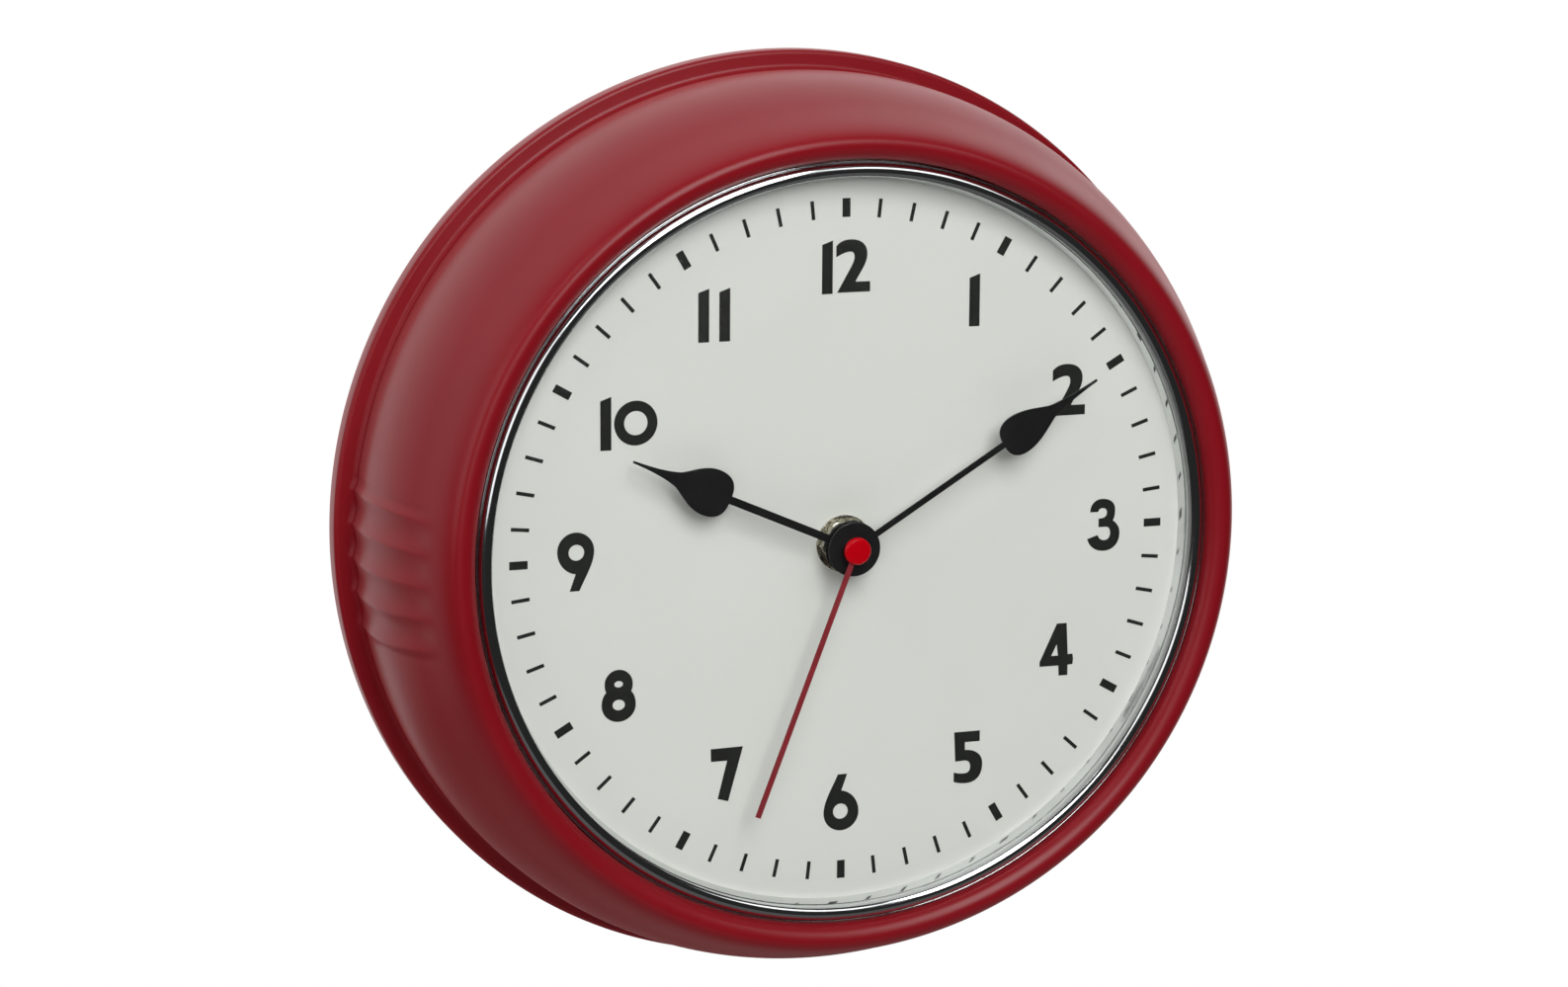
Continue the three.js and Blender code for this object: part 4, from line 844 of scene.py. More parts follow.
@dataclass
class CaseShell:
    """The spun sheet-steel case with its short pressed ribs at 9 and at 3 o'clock.

    Lengths are millimetres and angles are degrees. A span along the radius is measured
    from the side's radius.
    """

    shop: Workshop
    sheet: float = 1.0
    side_bulge: float = 13.4
    side_fullness: float = 0.7
    flange_overhang: float = 5.0
    flange_width: float = 6.4
    flange_corner: float = 1.2
    groove_fillet: float = 1.5
    lip_roll: float = 4.0
    crest_width: float = 3.4
    ledge_width: float = 8.0
    ledge_gap: float = 0.05
    back_lip: float = 5.0
    full_from: float = 17.4
    waist_share: Point = (0.35, 0.545)
    waist_run: Point = (2.57, 6.5)
    straight_length: float = 18.0
    rib_count: int = 5
    rib_pitch: float = 4.35
    rib_height: float = 1.0
    rib_length: float = 46.0
    rib_steps: int = 24
    rib_turn: float = 2.5
    rib_end: float = 0.35
    rib_fade: float = 7.0
    rib_front: Point = (-9.5, -6.0)
    rib_back: Point = (1.8, 3.4)
    ridge_round: float = 0.006
    flute_share: float = 0.42
    plain_step: float = 1.0

    def side_radius(self) -> float:
        """The side's radius, just ahead of the flange."""
        return limits("case_shell")[1].x - self.flange_overhang

    def line(self) -> list[Point]:
        """The visible face's line, from the dial ledge over the front roll to the wall."""
        low, high = limits("case_shell")
        flange_r, crest_y, side_r = high.x, low.y, self.side_radius()
        fillet, corner, roll = self.groove_fillet, self.flange_corner, self.lip_roll
        crest_r = side_r - self.side_bulge
        lip_r = crest_r - roll
        ledge_y = limits("dial_plate")[1].y + self.ledge_gap
        shoulder = -self.flange_width
        side_front = shoulder - self.straight_length
        share_r, share_y = self.waist_share
        waist = (side_r - share_r * self.side_bulge, side_front + share_y * (crest_y - side_front))
        full_r, full_y, groove_y = side_r + self.side_fullness, -self.full_from, shoulder - fillet
        points = [(lip_r - self.ledge_width, ledge_y), (lip_r, ledge_y)]
        points += arc(crest_r, crest_y + roll, roll, 180, 270, 14)
        before, after = self.past_waist(waist, -1.4), self.past_waist(waist, 1.35)
        fullest, groove = (full_r, full_y), (side_r, groove_y)
        points += bezier(points[-1], (crest_r + self.crest_width, crest_y), before, waist, 18)
        points += bezier(waist, after, (full_r, full_y - 10), fullest, 30)
        points += bezier(fullest, (full_r, full_y + 3), (side_r, groove_y - 2), groove, 12)[:-1]
        points += arc(side_r + fillet, groove_y, fillet, 180, 90, 6)
        points += arc(flange_r - corner, shoulder + corner, corner, 270, 360, 6)
        points += arc(flange_r - corner, -corner, corner, 0, 90, 6)
        return points + [(flange_r - self.back_lip, 0.0)]

    def past_waist(self, waist: Point, share: float) -> Point:
        """A curve's handle on the waist's tangent."""
        return (waist[0] + share * self.waist_run[0], waist[1] + share * self.waist_run[1])

    def angles(self) -> list[float]:
        """Steps round the case in degrees, close together where the ribs are."""
        half = self.rib_count * self.rib_pitch / 2
        ribbed = self.rib_count * self.rib_steps
        plain = round((180 - 2 * half) / self.plain_step)
        turns = []
        for side in (self.rib_turn, 180 + self.rib_turn):
            turns += [side - half + 2 * half * i / ribbed for i in range(ribbed)]
            turns += [side + half + (180 - 2 * half) * i / plain for i in range(plain)]
        return turns

    def rib_tree(self) -> GeometryBoard:
        """The geometry tree that presses the ribs outwards."""
        board = GeometryBoard("pressed_ribs")
        board.value("Rib Count", "NodeSocketFloat", float(self.rib_count))
        board.value("Rib Pitch", "NodeSocketFloat", math.radians(self.rib_pitch))
        board.value("Rib Turn", "NodeSocketFloat", math.radians(self.rib_turn))
        board.value("Rib Height", "NodeSocketFloat", self.rib_height * MM)
        board.value("Rib Start", "NodeSocketFloat", -self.flange_width * MM)
        board.value("Rib Length", "NodeSocketFloat", self.rib_length * MM)
        board.value("Side Radius", "NodeSocketFloat", self.side_radius() * MM)
        board.value("Finish", "NodeSocketMaterial", self.shop.paint(Paint.CASE))
        given = board.open().outputs
        place = board.add("GeometryNodeInputPosition").outputs[0]
        parts = board.add("ShaderNodeSeparateXYZ", {0: place}).outputs
        x, y, z = parts["X"], parts["Y"], parts["Z"]
        radius = board.math("SQRT", board.math("MULTIPLY_ADD", z, z, board.math("MULTIPLY", x, x)))
        crest, inside = self.ridges(board, given, x, z)
        ahead = board.math("SUBTRACT", given["Rib Start"], y)
        held = board.span(ahead, (0.0, given["Rib Length"]))
        fade = board.math("SUBTRACT", 1.0, board.math("POWER", held, self.rib_fade))
        beyond = board.math("SUBTRACT", radius, given["Side Radius"])
        on_side = board.span(beyond, (self.rib_front[0] * MM, self.rib_front[1] * MM))
        off_rim = board.span(beyond, (self.rib_back[0] * MM, self.rib_back[1] * MM), (1.0, 0.0))
        height = given["Rib Height"]
        for share in (crest, inside, fade, on_side, off_rim):
            height = board.math("MULTIPLY", height, share)
        push = board.math("DIVIDE", height, radius)
        moved = board.vector(board.math("MULTIPLY", x, push), 0.0, board.math("MULTIPLY", z, push))
        set_place = board.add("GeometryNodeSetPosition", {"Geometry": given["Geometry"], "Offset": moved})
        board.close(set_place.outputs[0])
        return board

    def ridges(
        self, board: GeometryBoard, given: bpy.types.bpy_prop_collection, x: object, z: object
    ) -> tuple[bpy.types.NodeSocket, bpy.types.NodeSocket]:
        """Builds the row of ridges round the clock.

        Args:
            board: The board to build on.
            given: The tree's inputs.
            x: Where a point lies across.
            z: Where a point lies upwards.

        Returns:
            The ridges' height as a share, and 1 within the row of ribs.
        """
        swing = board.math("MULTIPLY", board.math("SIGN", x), given["Rib Turn"])
        angle = board.math("SUBTRACT", board.math("ARCTAN2", z, board.math("ABSOLUTE", x)), swing)
        turn = board.math("DIVIDE", angle, given["Rib Pitch"])
        wave = board.math("SINE", board.math("MULTIPLY", turn, math.pi))
        rounded = board.math("SQRT", board.math("MULTIPLY_ADD", wave, wave, self.ridge_round))
        crest = board.math("SUBTRACT", math.sqrt(1 + self.ridge_round) - self.flute_share, rounded)
        edge = board.math("MULTIPLY", given["Rib Count"], 0.5)
        inner_edge = board.math("SUBTRACT", edge, self.rib_end)
        off_centre = board.math("ABSOLUTE", turn)
        inside = board.span(off_centre, (inner_edge, edge), (1.0, 0.0), interpolation_type="SMOOTHSTEP")
        return crest, inside

    def build(self) -> None:
        """Makes the case and hands it over."""
        line = self.line()
        inner = offset_line(line, self.sheet)
        profile = line + inner[::-1][::2] + [inner[0]]
        plain = self.shop.turned("case_plain", profile, self.angles())
        piece = grown("case_skin", self.rib_tree(), plain)
        self.shop.hand_over(piece, "red_paint", "case_shell")


# ------------------------------------------------------------------ the front's rings and the lens


@dataclass
class FrontRings:
    """The chrome bezel, the bright inner ring, the gasket and the domed lens."""

    shop: Workshop
    ring_width: float = 3.9
    gasket_width: float = 3.6
    rim_width: float = 0.45
    rim_height: float = 0.55
    bead_lean: float = 42.0
    undercut: float = 0.9
    ring_lean: float = 27.5
    lens_thick: float = 1.8
    lens_inset: float = 0.3
    lens_power: float = 3.0
    lens_steps: int = 28

    def bezel(self) -> None:
        """A half-round bead with a narrow rim outside it."""
        low, high = limits("chrome_bezel")
        outer_r, back = high.x, high.y
        inner_r = outer_r - self.ring_width
        lean, half_rim = math.radians(self.bead_lean), self.rim_width / 2
        bead = (outer_r - inner_r - self.rim_width) / (1 + math.cos(lean))
        centre = (outer_r - self.rim_width - bead, low.y + bead)
        points = [(inner_r + self.undercut, back)]
        points += arc(*centre, bead, 180 + self.bead_lean, 352, 40)
        points += arc(outer_r - half_rim, back - self.rim_height, half_rim, 200, 360, 8)
        points += [(outer_r, back)]
        self.shop.finish(self.shop.turned("bezel_bead", points), Paint.CHROME, "bezel_chrome", "chrome_bezel")

    def inner_ring(self) -> None:
        """The bright bevel that rises from the dial to the bezel."""
        low, high = limits("inner_ring")
        inner_r = high.x - self.ring_width
        foot = inner_r - (high.y - low.y) * math.tan(math.radians(self.ring_lean))
        points = [(foot, high.y), (foot + 0.02, high.y - 0.03), (inner_r - 0.06, low.y + 0.1)]
        points += [(inner_r, low.y), (high.x, low.y), (high.x, high.y)]
        self.shop.finish(self.shop.turned("mirror_ring", points), Paint.MIRROR, "ring_mirror", "inner_ring")

    def gasket(self) -> None:
        """A soft ring with a rounded inner edge."""
        low, high = limits("lens_gasket")
        half = (high.y - low.y) / 2
        points = arc(high.x - self.gasket_width + half, low.y + half, half, 90, 270, 8)
        points += [(high.x, low.y), (high.x, high.y)]
        mesh = self.shop.turned("gasket_band", points)
        self.shop.finish(mesh, Paint.GASKET, "gasket_rubber", "lens_gasket")

    def lens(self) -> None:
        """The clear dome, flatter in the middle and steeper at its edge."""
        low, high = limits("lens")
        back, front = high.y, high.y - self.lens_thick
        rise = front - low.y
        dome_r = high.x - self.ring_width - self.lens_inset
        shares = [math.sin(math.pi / 2 * i / self.lens_steps) for i in range(self.lens_steps + 1)]
        inner = [(dome_r * s, back - rise * (1 - s**self.lens_power)) for s in shares]
        outer = [(r, y - self.lens_thick) for r, y in inner]
        points = inner + [(high.x, back), (high.x, front)] + outer[::-1]
        self.shop.finish(self.shop.turned("lens_dome", points), Paint.LENS, "lens_clear", "lens")

    def build(self) -> None:
        """Makes every ring and the lens."""
        self.bezel()
        self.inner_ring()
        self.gasket()
        self.lens()


# ------------------------------------------------------------------ the dial


NUMERAL_OUTLINES: dict[str, list[list[Point]]] = {
    "1": [drawn((0, 0), (2.83, 0), (2.83, 13.35), (0, 12.35))],
    "2": [
        drawn(
            (0, 11.67), (0.9, 12.8, 2.3, 13.25, 3.75, 13.25), (6.6, 13.25, 8.25, 11.9, 8.25, 9.46),
            (8.25, 7.2, 6.7, 5.4, 5.2, 2.75), (5.3, 2.6), (9.05, 2.58), (9.05, 0), (0.3, 0), (3.6, 5.7),
            (4.4, 7.1, 4.85, 7.9, 4.85, 8.8), (4.85, 9.9, 4.3, 10.25, 3.5, 10.2),
            (2.3, 10.1, 1.1, 9.5, 0, 8.9),
        )
    ],
    "3": [
        drawn(
            (0.71, 10.33), (0.75, 12.2, 1.9, 13.67, 3.96, 13.67), (6.3, 13.67, 7.7, 12.5, 7.7, 10.6),
            (7.7, 9.3, 7.45, 8.4, 7.1, 7.85), (8.3, 7.1, 9.04, 5.9, 9.04, 4.46), (9.04, 1.7, 7.2, 0, 4.67, 0),
            (2.3, 0, 0.6, 1.3, 0, 3.33), (2.92, 4.25), (3.2, 3.3, 3.9, 2.8, 4.8, 2.8),
            (5.8, 2.8, 6.4, 3.5, 6.4, 4.54), (6.4, 5.6, 6.0, 6.3, 5.0, 6.3), (3.1, 6.3), (3.1, 8.54),
            (3.9, 8.6), (4.9, 8.65, 5.4, 9.2, 5.4, 10.0), (5.4, 10.8, 4.9, 11.25, 4.1, 11.25),
            (3.5, 11.25, 3.05, 10.9, 3.0, 10.3),
        )
    ],
    "4": [
        drawn(
            (4.67, 13.8), (7.38, 13.8), (7.83, 5.54), (9.17, 5.54), (9.35, 4.2), (9.2, 2.8), (7.83, 2.7),
            (7.83, 0), (5.38, 0), (5.25, 2.7), (0, 2.7), (0, 3.9),
        ),
        drawn((4.7, 8.33), (3.2, 5.33), (5.1, 5.33)),
    ],
    "5": [
        drawn(
            (0.08, 13.7), (7.17, 13.7), (7.17, 10.9), (3.08, 10.9), (3.08, 8.83),
            (6.1, 8.83, 7.96, 7.3, 7.96, 4.9), (7.96, 1.6, 6.2, 0, 3.4, 0), (2.2, 0, 1.0, 0.25, 0.08, 0.6),
            (0.08, 3.1), (0.9, 2.8, 2.0, 2.6, 3.0, 2.65), (4.1, 2.65, 4.6, 3.3, 4.6, 4.3),
            (4.6, 5.4, 4.1, 6.05, 2.9, 6.05), (0.45, 5.95),
        )
    ],
    "6": [
        drawn(
            (-0.92, 10.04), (1.58, 10.04), (0.04, 5.75), (2.6, 5.4, 4.75, 3.0, 4.75, 0),
            (4.75, -2.62, 2.62, -4.75, 0, -4.75), (-2.62, -4.75, -4.75, -2.62, -4.75, 0),
            (-4.75, 3.2, -2.6, 6.3, -0.92, 10.04),
        ),
        oval(-0.17, 0.33, 2.0, 2.0),
    ],
    "7": [drawn((0, 13.9), (8.58, 14.0), (4.67, 0), (1.88, 0.8), (4.38, 10.6), (0.08, 10.6))],
    "8": [
        drawn(
            (4.46, 0), (6.9, 0, 8.92, 1.9, 8.92, 4.25), (8.92, 5.7, 8.5, 6.9, 7.71, 7.67),
            (8.0, 8.2, 8.13, 8.9, 8.13, 9.67), (8.13, 11.7, 6.5, 13.33, 4.46, 13.33),
            (2.42, 13.33, 0.79, 11.7, 0.79, 9.67), (0.79, 8.9, 0.92, 8.2, 1.21, 7.67),
            (0.42, 6.9, 0, 5.7, 0, 4.25), (0, 1.9, 2.02, 0, 4.46, 0),
        )[:-1],
        oval(4.46, 9.63, 1.12, 0.81),
        oval(4.46, 4.33, 1.6, 1.35),
    ],
    "0": [oval(0, 0, 5.6, 5.6, 64), oval(0, 0, 3.02, 3.02, 48)],
}
NUMERAL_OUTLINES["9"] = [[(-x, -z) for x, z in outline] for outline in NUMERAL_OUTLINES["6"]]

NUMERALS: list[tuple[str, float, float]] = [
    ("1", -6.33, 63.55), ("2", -2.6, 63.75),
    ("1", 33.2, 53.6),
    ("2", 56.4, 29.4),
    ("3", 66.83, -6.67),
    ("4", 54.17, -38.8),
    ("5", 30.67, -65.3),
    ("6", -0.08, -70.04),
    ("7", -35.17, -64.46),
    ("8", -63.8, -41.5),
    ("9", -70.35, 2.58),
    ("1", -63.94, 27.33), ("0", -54.8, 33.8),
    ("1", -38.67, 52.96), ("1", -33.2, 52.96),
]


@dataclass
class Dial:
    """The dial disc, its sixty minute marks and its twelve numerals."""

    shop: Workshop
    ink: float = 0.05
    mark_count: int = 60
    mark_radius: float = 85.0
    mark_length: float = 4.7
    minute_width: float = 0.94
    hour_width: float = 2.1
    hole: float = BUSH_HOLE
    edge_ease: float = 0.12

    def disc(self) -> None:
        """The painted disc with the hole for the movement's bush."""
        low, high = limits("dial_plate")
        hole, ease = self.hole, self.edge_ease
        points = [
            (hole, low.y + ease), (hole + ease, low.y), (high.x - ease, low.y), (high.x, low.y + ease),
            (high.x, high.y), (hole, high.y),
        ]
        self.shop.finish(self.shop.turned("dial_disc", points), Paint.DIAL, "dial_paint", "dial_plate")

    def mark_tree(self) -> GeometryBoard:
        """The geometry tree that sets the minute marks round the dial."""
        board = GeometryBoard("minute_marks", base=False)
        face = limits("dial_plate")[0].y
        board.value("Count", "NodeSocketInt", self.mark_count)
        board.value("Radius", "NodeSocketFloat", self.mark_radius * MM)
        board.value("Length", "NodeSocketFloat", self.mark_length * MM)
        board.value("Minute Width", "NodeSocketFloat", self.minute_width * MM)
        board.value("Hour Width", "NodeSocketFloat", self.hour_width * MM)
        board.value("Ink", "NodeSocketFloat", self.ink * MM)
        board.value("Face", "NodeSocketFloat", (face - self.ink / 2) * MM)
        board.value("Finish", "NodeSocketMaterial", self.shop.paint(Paint.INK))
        given = board.open().outputs
        circle = board.add("GeometryNodeMeshCircle", {"Vertices": given["Count"], "Radius": given["Radius"]})
        number = board.add("GeometryNodeInputIndex").outputs[0]
        turn = board.math("DIVIDE", board.math("MULTIPLY", number, math.tau), given["Count"])
        is_hour = board.math("LESS_THAN", board.math("MODULO", number, 5.0), 0.5)
        sets = []
        is_minute = board.math("SUBTRACT", 1.0, is_hour)
        for width, chosen in (("Minute Width", is_minute), ("Hour Width", is_hour)):
            size = board.vector(given["Length"], given[width], given["Ink"])
            bar = board.add("GeometryNodeMeshCube", {"Size": size, "Vertices X": 3})
            marks = board.add(
                "GeometryNodeInstanceOnPoints",
                {"Points": circle.outputs["Mesh"], "Selection": chosen, "Instance": bar.outputs["Mesh"]},
            )
            board.feed(board.vector(0.0, 0.0, turn), marks.inputs["Rotation"])
            sets.append(marks.outputs[0])
        both = board.add("GeometryNodeJoinGeometry")
        for marks in sets:
            board.feed(marks, both.inputs[0])
        upright = board.add(
            "GeometryNodeTransform",
            {"Geometry": both.outputs[0], "Rotation": (math.pi / 2, 0.0, 0.0)},
        )
        board.feed(board.vector(0.0, given["Face"]), upright.inputs["Translation"])
        board.close(upright.outputs[0])
        return board

    def numerals(self) -> None:
        """The twelve numerals as thin raised ink."""
        face = limits("dial_plate")[0].y
        meshes = []
        for digit, x, z in NUMERALS:
            outlines = [[(px + x, pz + z) for px, pz in line] for line in NUMERAL_OUTLINES[digit]]
            meshes.append(self.shop.flat(f"numeral_{digit}", outlines, face - self.ink, face))
        self.shop.finish(self.shop.joined("dial_numerals", meshes), Paint.INK, None)

    def build(self) -> None:
        """Makes the disc and its print."""
        self.disc()
        marks = grown("dial_marks", self.mark_tree())
        self.shop.hand_over(marks, None)
        self.numerals()


# ------------------------------------------------------------------ the hands


@dataclass(frozen=True)
class Spade:
    """The outline of a spade hand, in millimetres along the hand."""

    tip: float
    root: float
    belly: float
    half_belly: float
    half_stem: float
    angle: float


@dataclass
class Hands:
    """The hour, minute and seconds hands, their cap, and the nut and washer under them."""

    shop: Workshop
    hub_r: float = 6.9
    cap_r: float = 3.45
    tip_half: float = 0.3
    blade_thick: float = 0.5
    collet_wall: float = 0.85
    second_bore: float = 0.65
    second_collet_wall: float = 0.6
    easing: float = 0.13
    hour: Spade = field(default=Spade(62.5, 35.0, 40.5, 6.0, 1.02, 293.8))
    minute: Spade = field(default=Spade(76.3, 46.8, 51.7, 5.2, 0.8, 58.8))
    second_tip: float = 71.6
    second_half: float = 0.73
    second_angle: float = 201.1

    def spade_outline(self, hand: Spade) -> list[Point]:
        """A hub disc, a thin stem and a spade that draws out to a fine tip, pointing up."""
        join_z = math.sqrt(self.hub_r**2 - hand.half_stem**2)
        neck = hand.belly + 0.42 * (hand.tip - hand.belly)
        h, t = hand.half_belly, self.tip_half
        right = drawn(
            (hand.half_stem, join_z),
            (hand.half_stem, hand.root),
            (h * 0.7, hand.root, h, hand.root + 0.35 * (hand.belly - hand.root), h, hand.belly),
            (h, hand.belly + 4, h * 0.52, neck - 2.4, h * 0.33, neck),
            (h * 0.18, neck + 2.6, t * 1.5, hand.tip - 6, t, hand.tip),
            steps=16,
        )
        left = [(-x, z) for x, z in right[::-1]]
        half = math.degrees(math.atan2(join_z, hand.half_stem))
        hub = arc(0, 0, self.hub_r, 180 - half, 360 + half, 72)
        return right + left + hub[1:-1]

    def pointed(self, mesh: bpy.types.Mesh, angle: float) -> bpy.types.Mesh:
        """Turns a mesh that points up to a clockwise angle."""
        mesh.transform(Matrix.Rotation(math.radians(angle), 4, "Y"))
        return mesh

    def spade_hand(self, node: str, name: str, hand: Spade, pipe_r: float) -> None:
        """One spade hand with the collet that grips its pipe."""
        low, high = limits(node)
        blade_back = low.y + self.blade_thick
        outlines = [self.spade_outline(hand), circle(0, 0, pipe_r, 48)]
        blade = self.pointed(self.shop.flat(name, outlines, low.y, blade_back, self.easing), hand.angle)
        outer_r = pipe_r + self.collet_wall
        wall = [(pipe_r, blade_back), (outer_r, blade_back), (outer_r, high.y - 0.1)]
        wall += [(outer_r - 0.1, high.y), (pipe_r, high.y)]
        collet = self.shop.turned(f"{name}_collet", wall)
        self.shop.finish(self.shop.joined(name, [blade, collet]), Paint.BLACK_HAND, "hand_black", node)

    def second_hand(self) -> None:
        """The straight seconds hand with its boss."""
        low, high = limits("second_hand")
        blade_back = low.y + self.blade_thick
        bore, boss, w = self.second_bore, self.cap_r - 0.8, self.second_half
        outer_r = bore + self.second_collet_wall
        half = math.degrees(math.asin(w / boss))
        outline = [(w, self.second_tip), (-w, self.second_tip)]
        outline += arc(0, 0, boss, 90 + half, 450 - half, 48)
        outlines = [outline, circle(0, 0, bore)]
        blade = self.shop.flat("second_blade", outlines, low.y, blade_back, self.easing)
        tube = [(bore, blade_back), (outer_r, blade_back), (outer_r, high.y), (bore, high.y)]
        collet = self.shop.turned("second_collet", tube)
        mesh = self.shop.joined("second_blade", [self.pointed(blade, self.second_angle), collet])
        self.shop.finish(mesh, Paint.RED_HAND, "hand_red", "second_hand")

    def cap(self) -> None:
        """The shallow button over the centre, with a soft rim and a slightly domed face."""
        low, high = limits("hand_cap")
        r = self.cap_r
        soft, dome = 0.5, 0.1
        shoulder = low.y + dome
        points = [(0.0, high.y), (r - 0.1, high.y), (r, high.y - 0.1), (r, shoulder + soft)]
        points += [(r - 0.05, shoulder + soft - 0.09), (r - soft + 0.09, shoulder + 0.05)]
        shares = [1 - i / 8 for i in range(9)]
        points += [((r - soft) * share, low.y + dome * share**2) for share in shares]
        self.shop.finish(self.shop.turned("cap_button", points), Paint.CAP, "cap_red", "hand_cap")

    def washer(self) -> None:
        """The turned brass washer on the dial."""
        low, high = limits("brass_washer")
        hole, r = BUSH_HOLE, high.x
        points = [(hole, high.y), (hole, low.y + 0.08), (hole + 0.1, low.y)]
        points += [(r - 0.12, low.y), (r, low.y + 0.12), (r, high.y)]
        self.shop.finish(self.shop.turned("washer_ring", points), Paint.BRASS, "brass", "brass_washer")

    def nut(self) -> None:
        """The hexagon nut with eased corners."""
        self.shop.finish(self.shop.eased("bush_nut", "hex_nut", 0.15), Paint.BRASS, "brass", "hex_nut")

    def build(self) -> None:
        """Makes the hands and what holds them."""
        self.spade_hand("hour_hand", "hour_blade", self.hour, 2.35)
        self.spade_hand("minute_hand", "minute_blade", self.minute, 1.4)
        self.second_hand()
        self.cap()
        self.washer()
        self.nut()


# ------------------------------------------------------------------ the movement and the back


@dataclass
class Movement:
    """The movement's mouldings, wheels and electrical parts, with eased edges."""

    shop: Workshop
    eased: tuple[tuple[str, Paint, str, float], ...] = (
        ("bush_washer", Paint.GASKET, "gasket_rubber", 0.12),
        ("movement_front", Paint.BODY_PLASTIC, "movement_plastic", 0.12),
        ("movement_plate", Paint.WHEEL_PLASTIC, "wheel_plastic", 0.12),
        ("movement_back", Paint.BODY_PLASTIC, "movement_plastic", 0.14),
        ("hour_wheel", Paint.WHEEL_PLASTIC, "wheel_plastic", 0.04),
        ("centre_wheel", Paint.WHEEL_PLASTIC, "wheel_plastic", 0.04),
        ("motion_wheel", Paint.WHEEL_PLASTIC, "wheel_plastic", 0.04),
        ("third_wheel", Paint.WHEEL_PLASTIC, "wheel_plastic", 0.03),
        ("second_wheel", Paint.STEEL, "arbor_steel", 0.03),
        ("intermediate_wheel", Paint.WHEEL_PLASTIC, "wheel_plastic", 0.03),
        ("rotor_pinion", Paint.WHEEL_PLASTIC, "wheel_plastic", 0.03),
        ("rotor_magnet", Paint.MAGNET, "magnet", 0.1),
        ("setting_knob", Paint.KNOB_PLASTIC, "knob_plastic", 0.12),
        ("stator", Paint.STEEL, "plain_steel", 0.06),
        ("coil_core", Paint.STEEL, "plain_steel", 0.06),
        ("coil_bobbin", Paint.WHEEL_PLASTIC, "wheel_plastic", 0.08),
        ("coil_winding", Paint.COPPER, "copper_wire", 0.2),
        ("circuit_board", Paint.BOARD, "board_green", 0.06),
        ("quartz_crystal", Paint.STEEL, "plain_steel", 0.15),
        ("driver_chip", Paint.RESIN, "chip_resin", 0.12),
        ("plus_contact", Paint.STEEL, "plain_steel", 0.05),
        ("minus_contact", Paint.STEEL, "plain_steel", 0.02),
    )

    def battery(self) -> None:
        """The cell: a crimped can with its raised end, lying along X."""
        low, high = limits("battery")
        at = middle("battery")
        radius = (high.z - low.z) / 2
        half = (high.x - low.x) / 2
        nub, crimp = 1.2, 0.6
        can = half - nub
        points = [(0.0, -half), (radius - crimp - 0.6, -half), (radius - crimp - 0.3, -half + 0.25)]
        points += [(radius - crimp, -half)] + arc(radius - crimp, -half + crimp, crimp, -80, 0, 6)
        points += [(radius, can - crimp)] + arc(radius - crimp, can - crimp, crimp, 10, 90, 6)
        points += [(3.2, can - 0.2), (2.7, can)] + arc(2.2, half - 0.5, 0.5, 0, 90, 5) + [(0.0, half)]
        mesh = self.shop.turned("cell", points, even_turns(96))
        mesh.transform(Matrix.Rotation(-math.pi / 2, 4, "Z"))
        mesh.transform(Matrix.Translation(at * MM))
        self.shop.finish(mesh, Paint.CELL, "battery_sleeve", "battery")

    def build(self) -> None:
        """Makes every piece of the movement."""
        for node, paint, slot, width in self.eased:
            mesh = self.shop.eased(f"{node}_fine", node, width)
            self.shop.finish(mesh, paint, slot, node)
        self.battery()


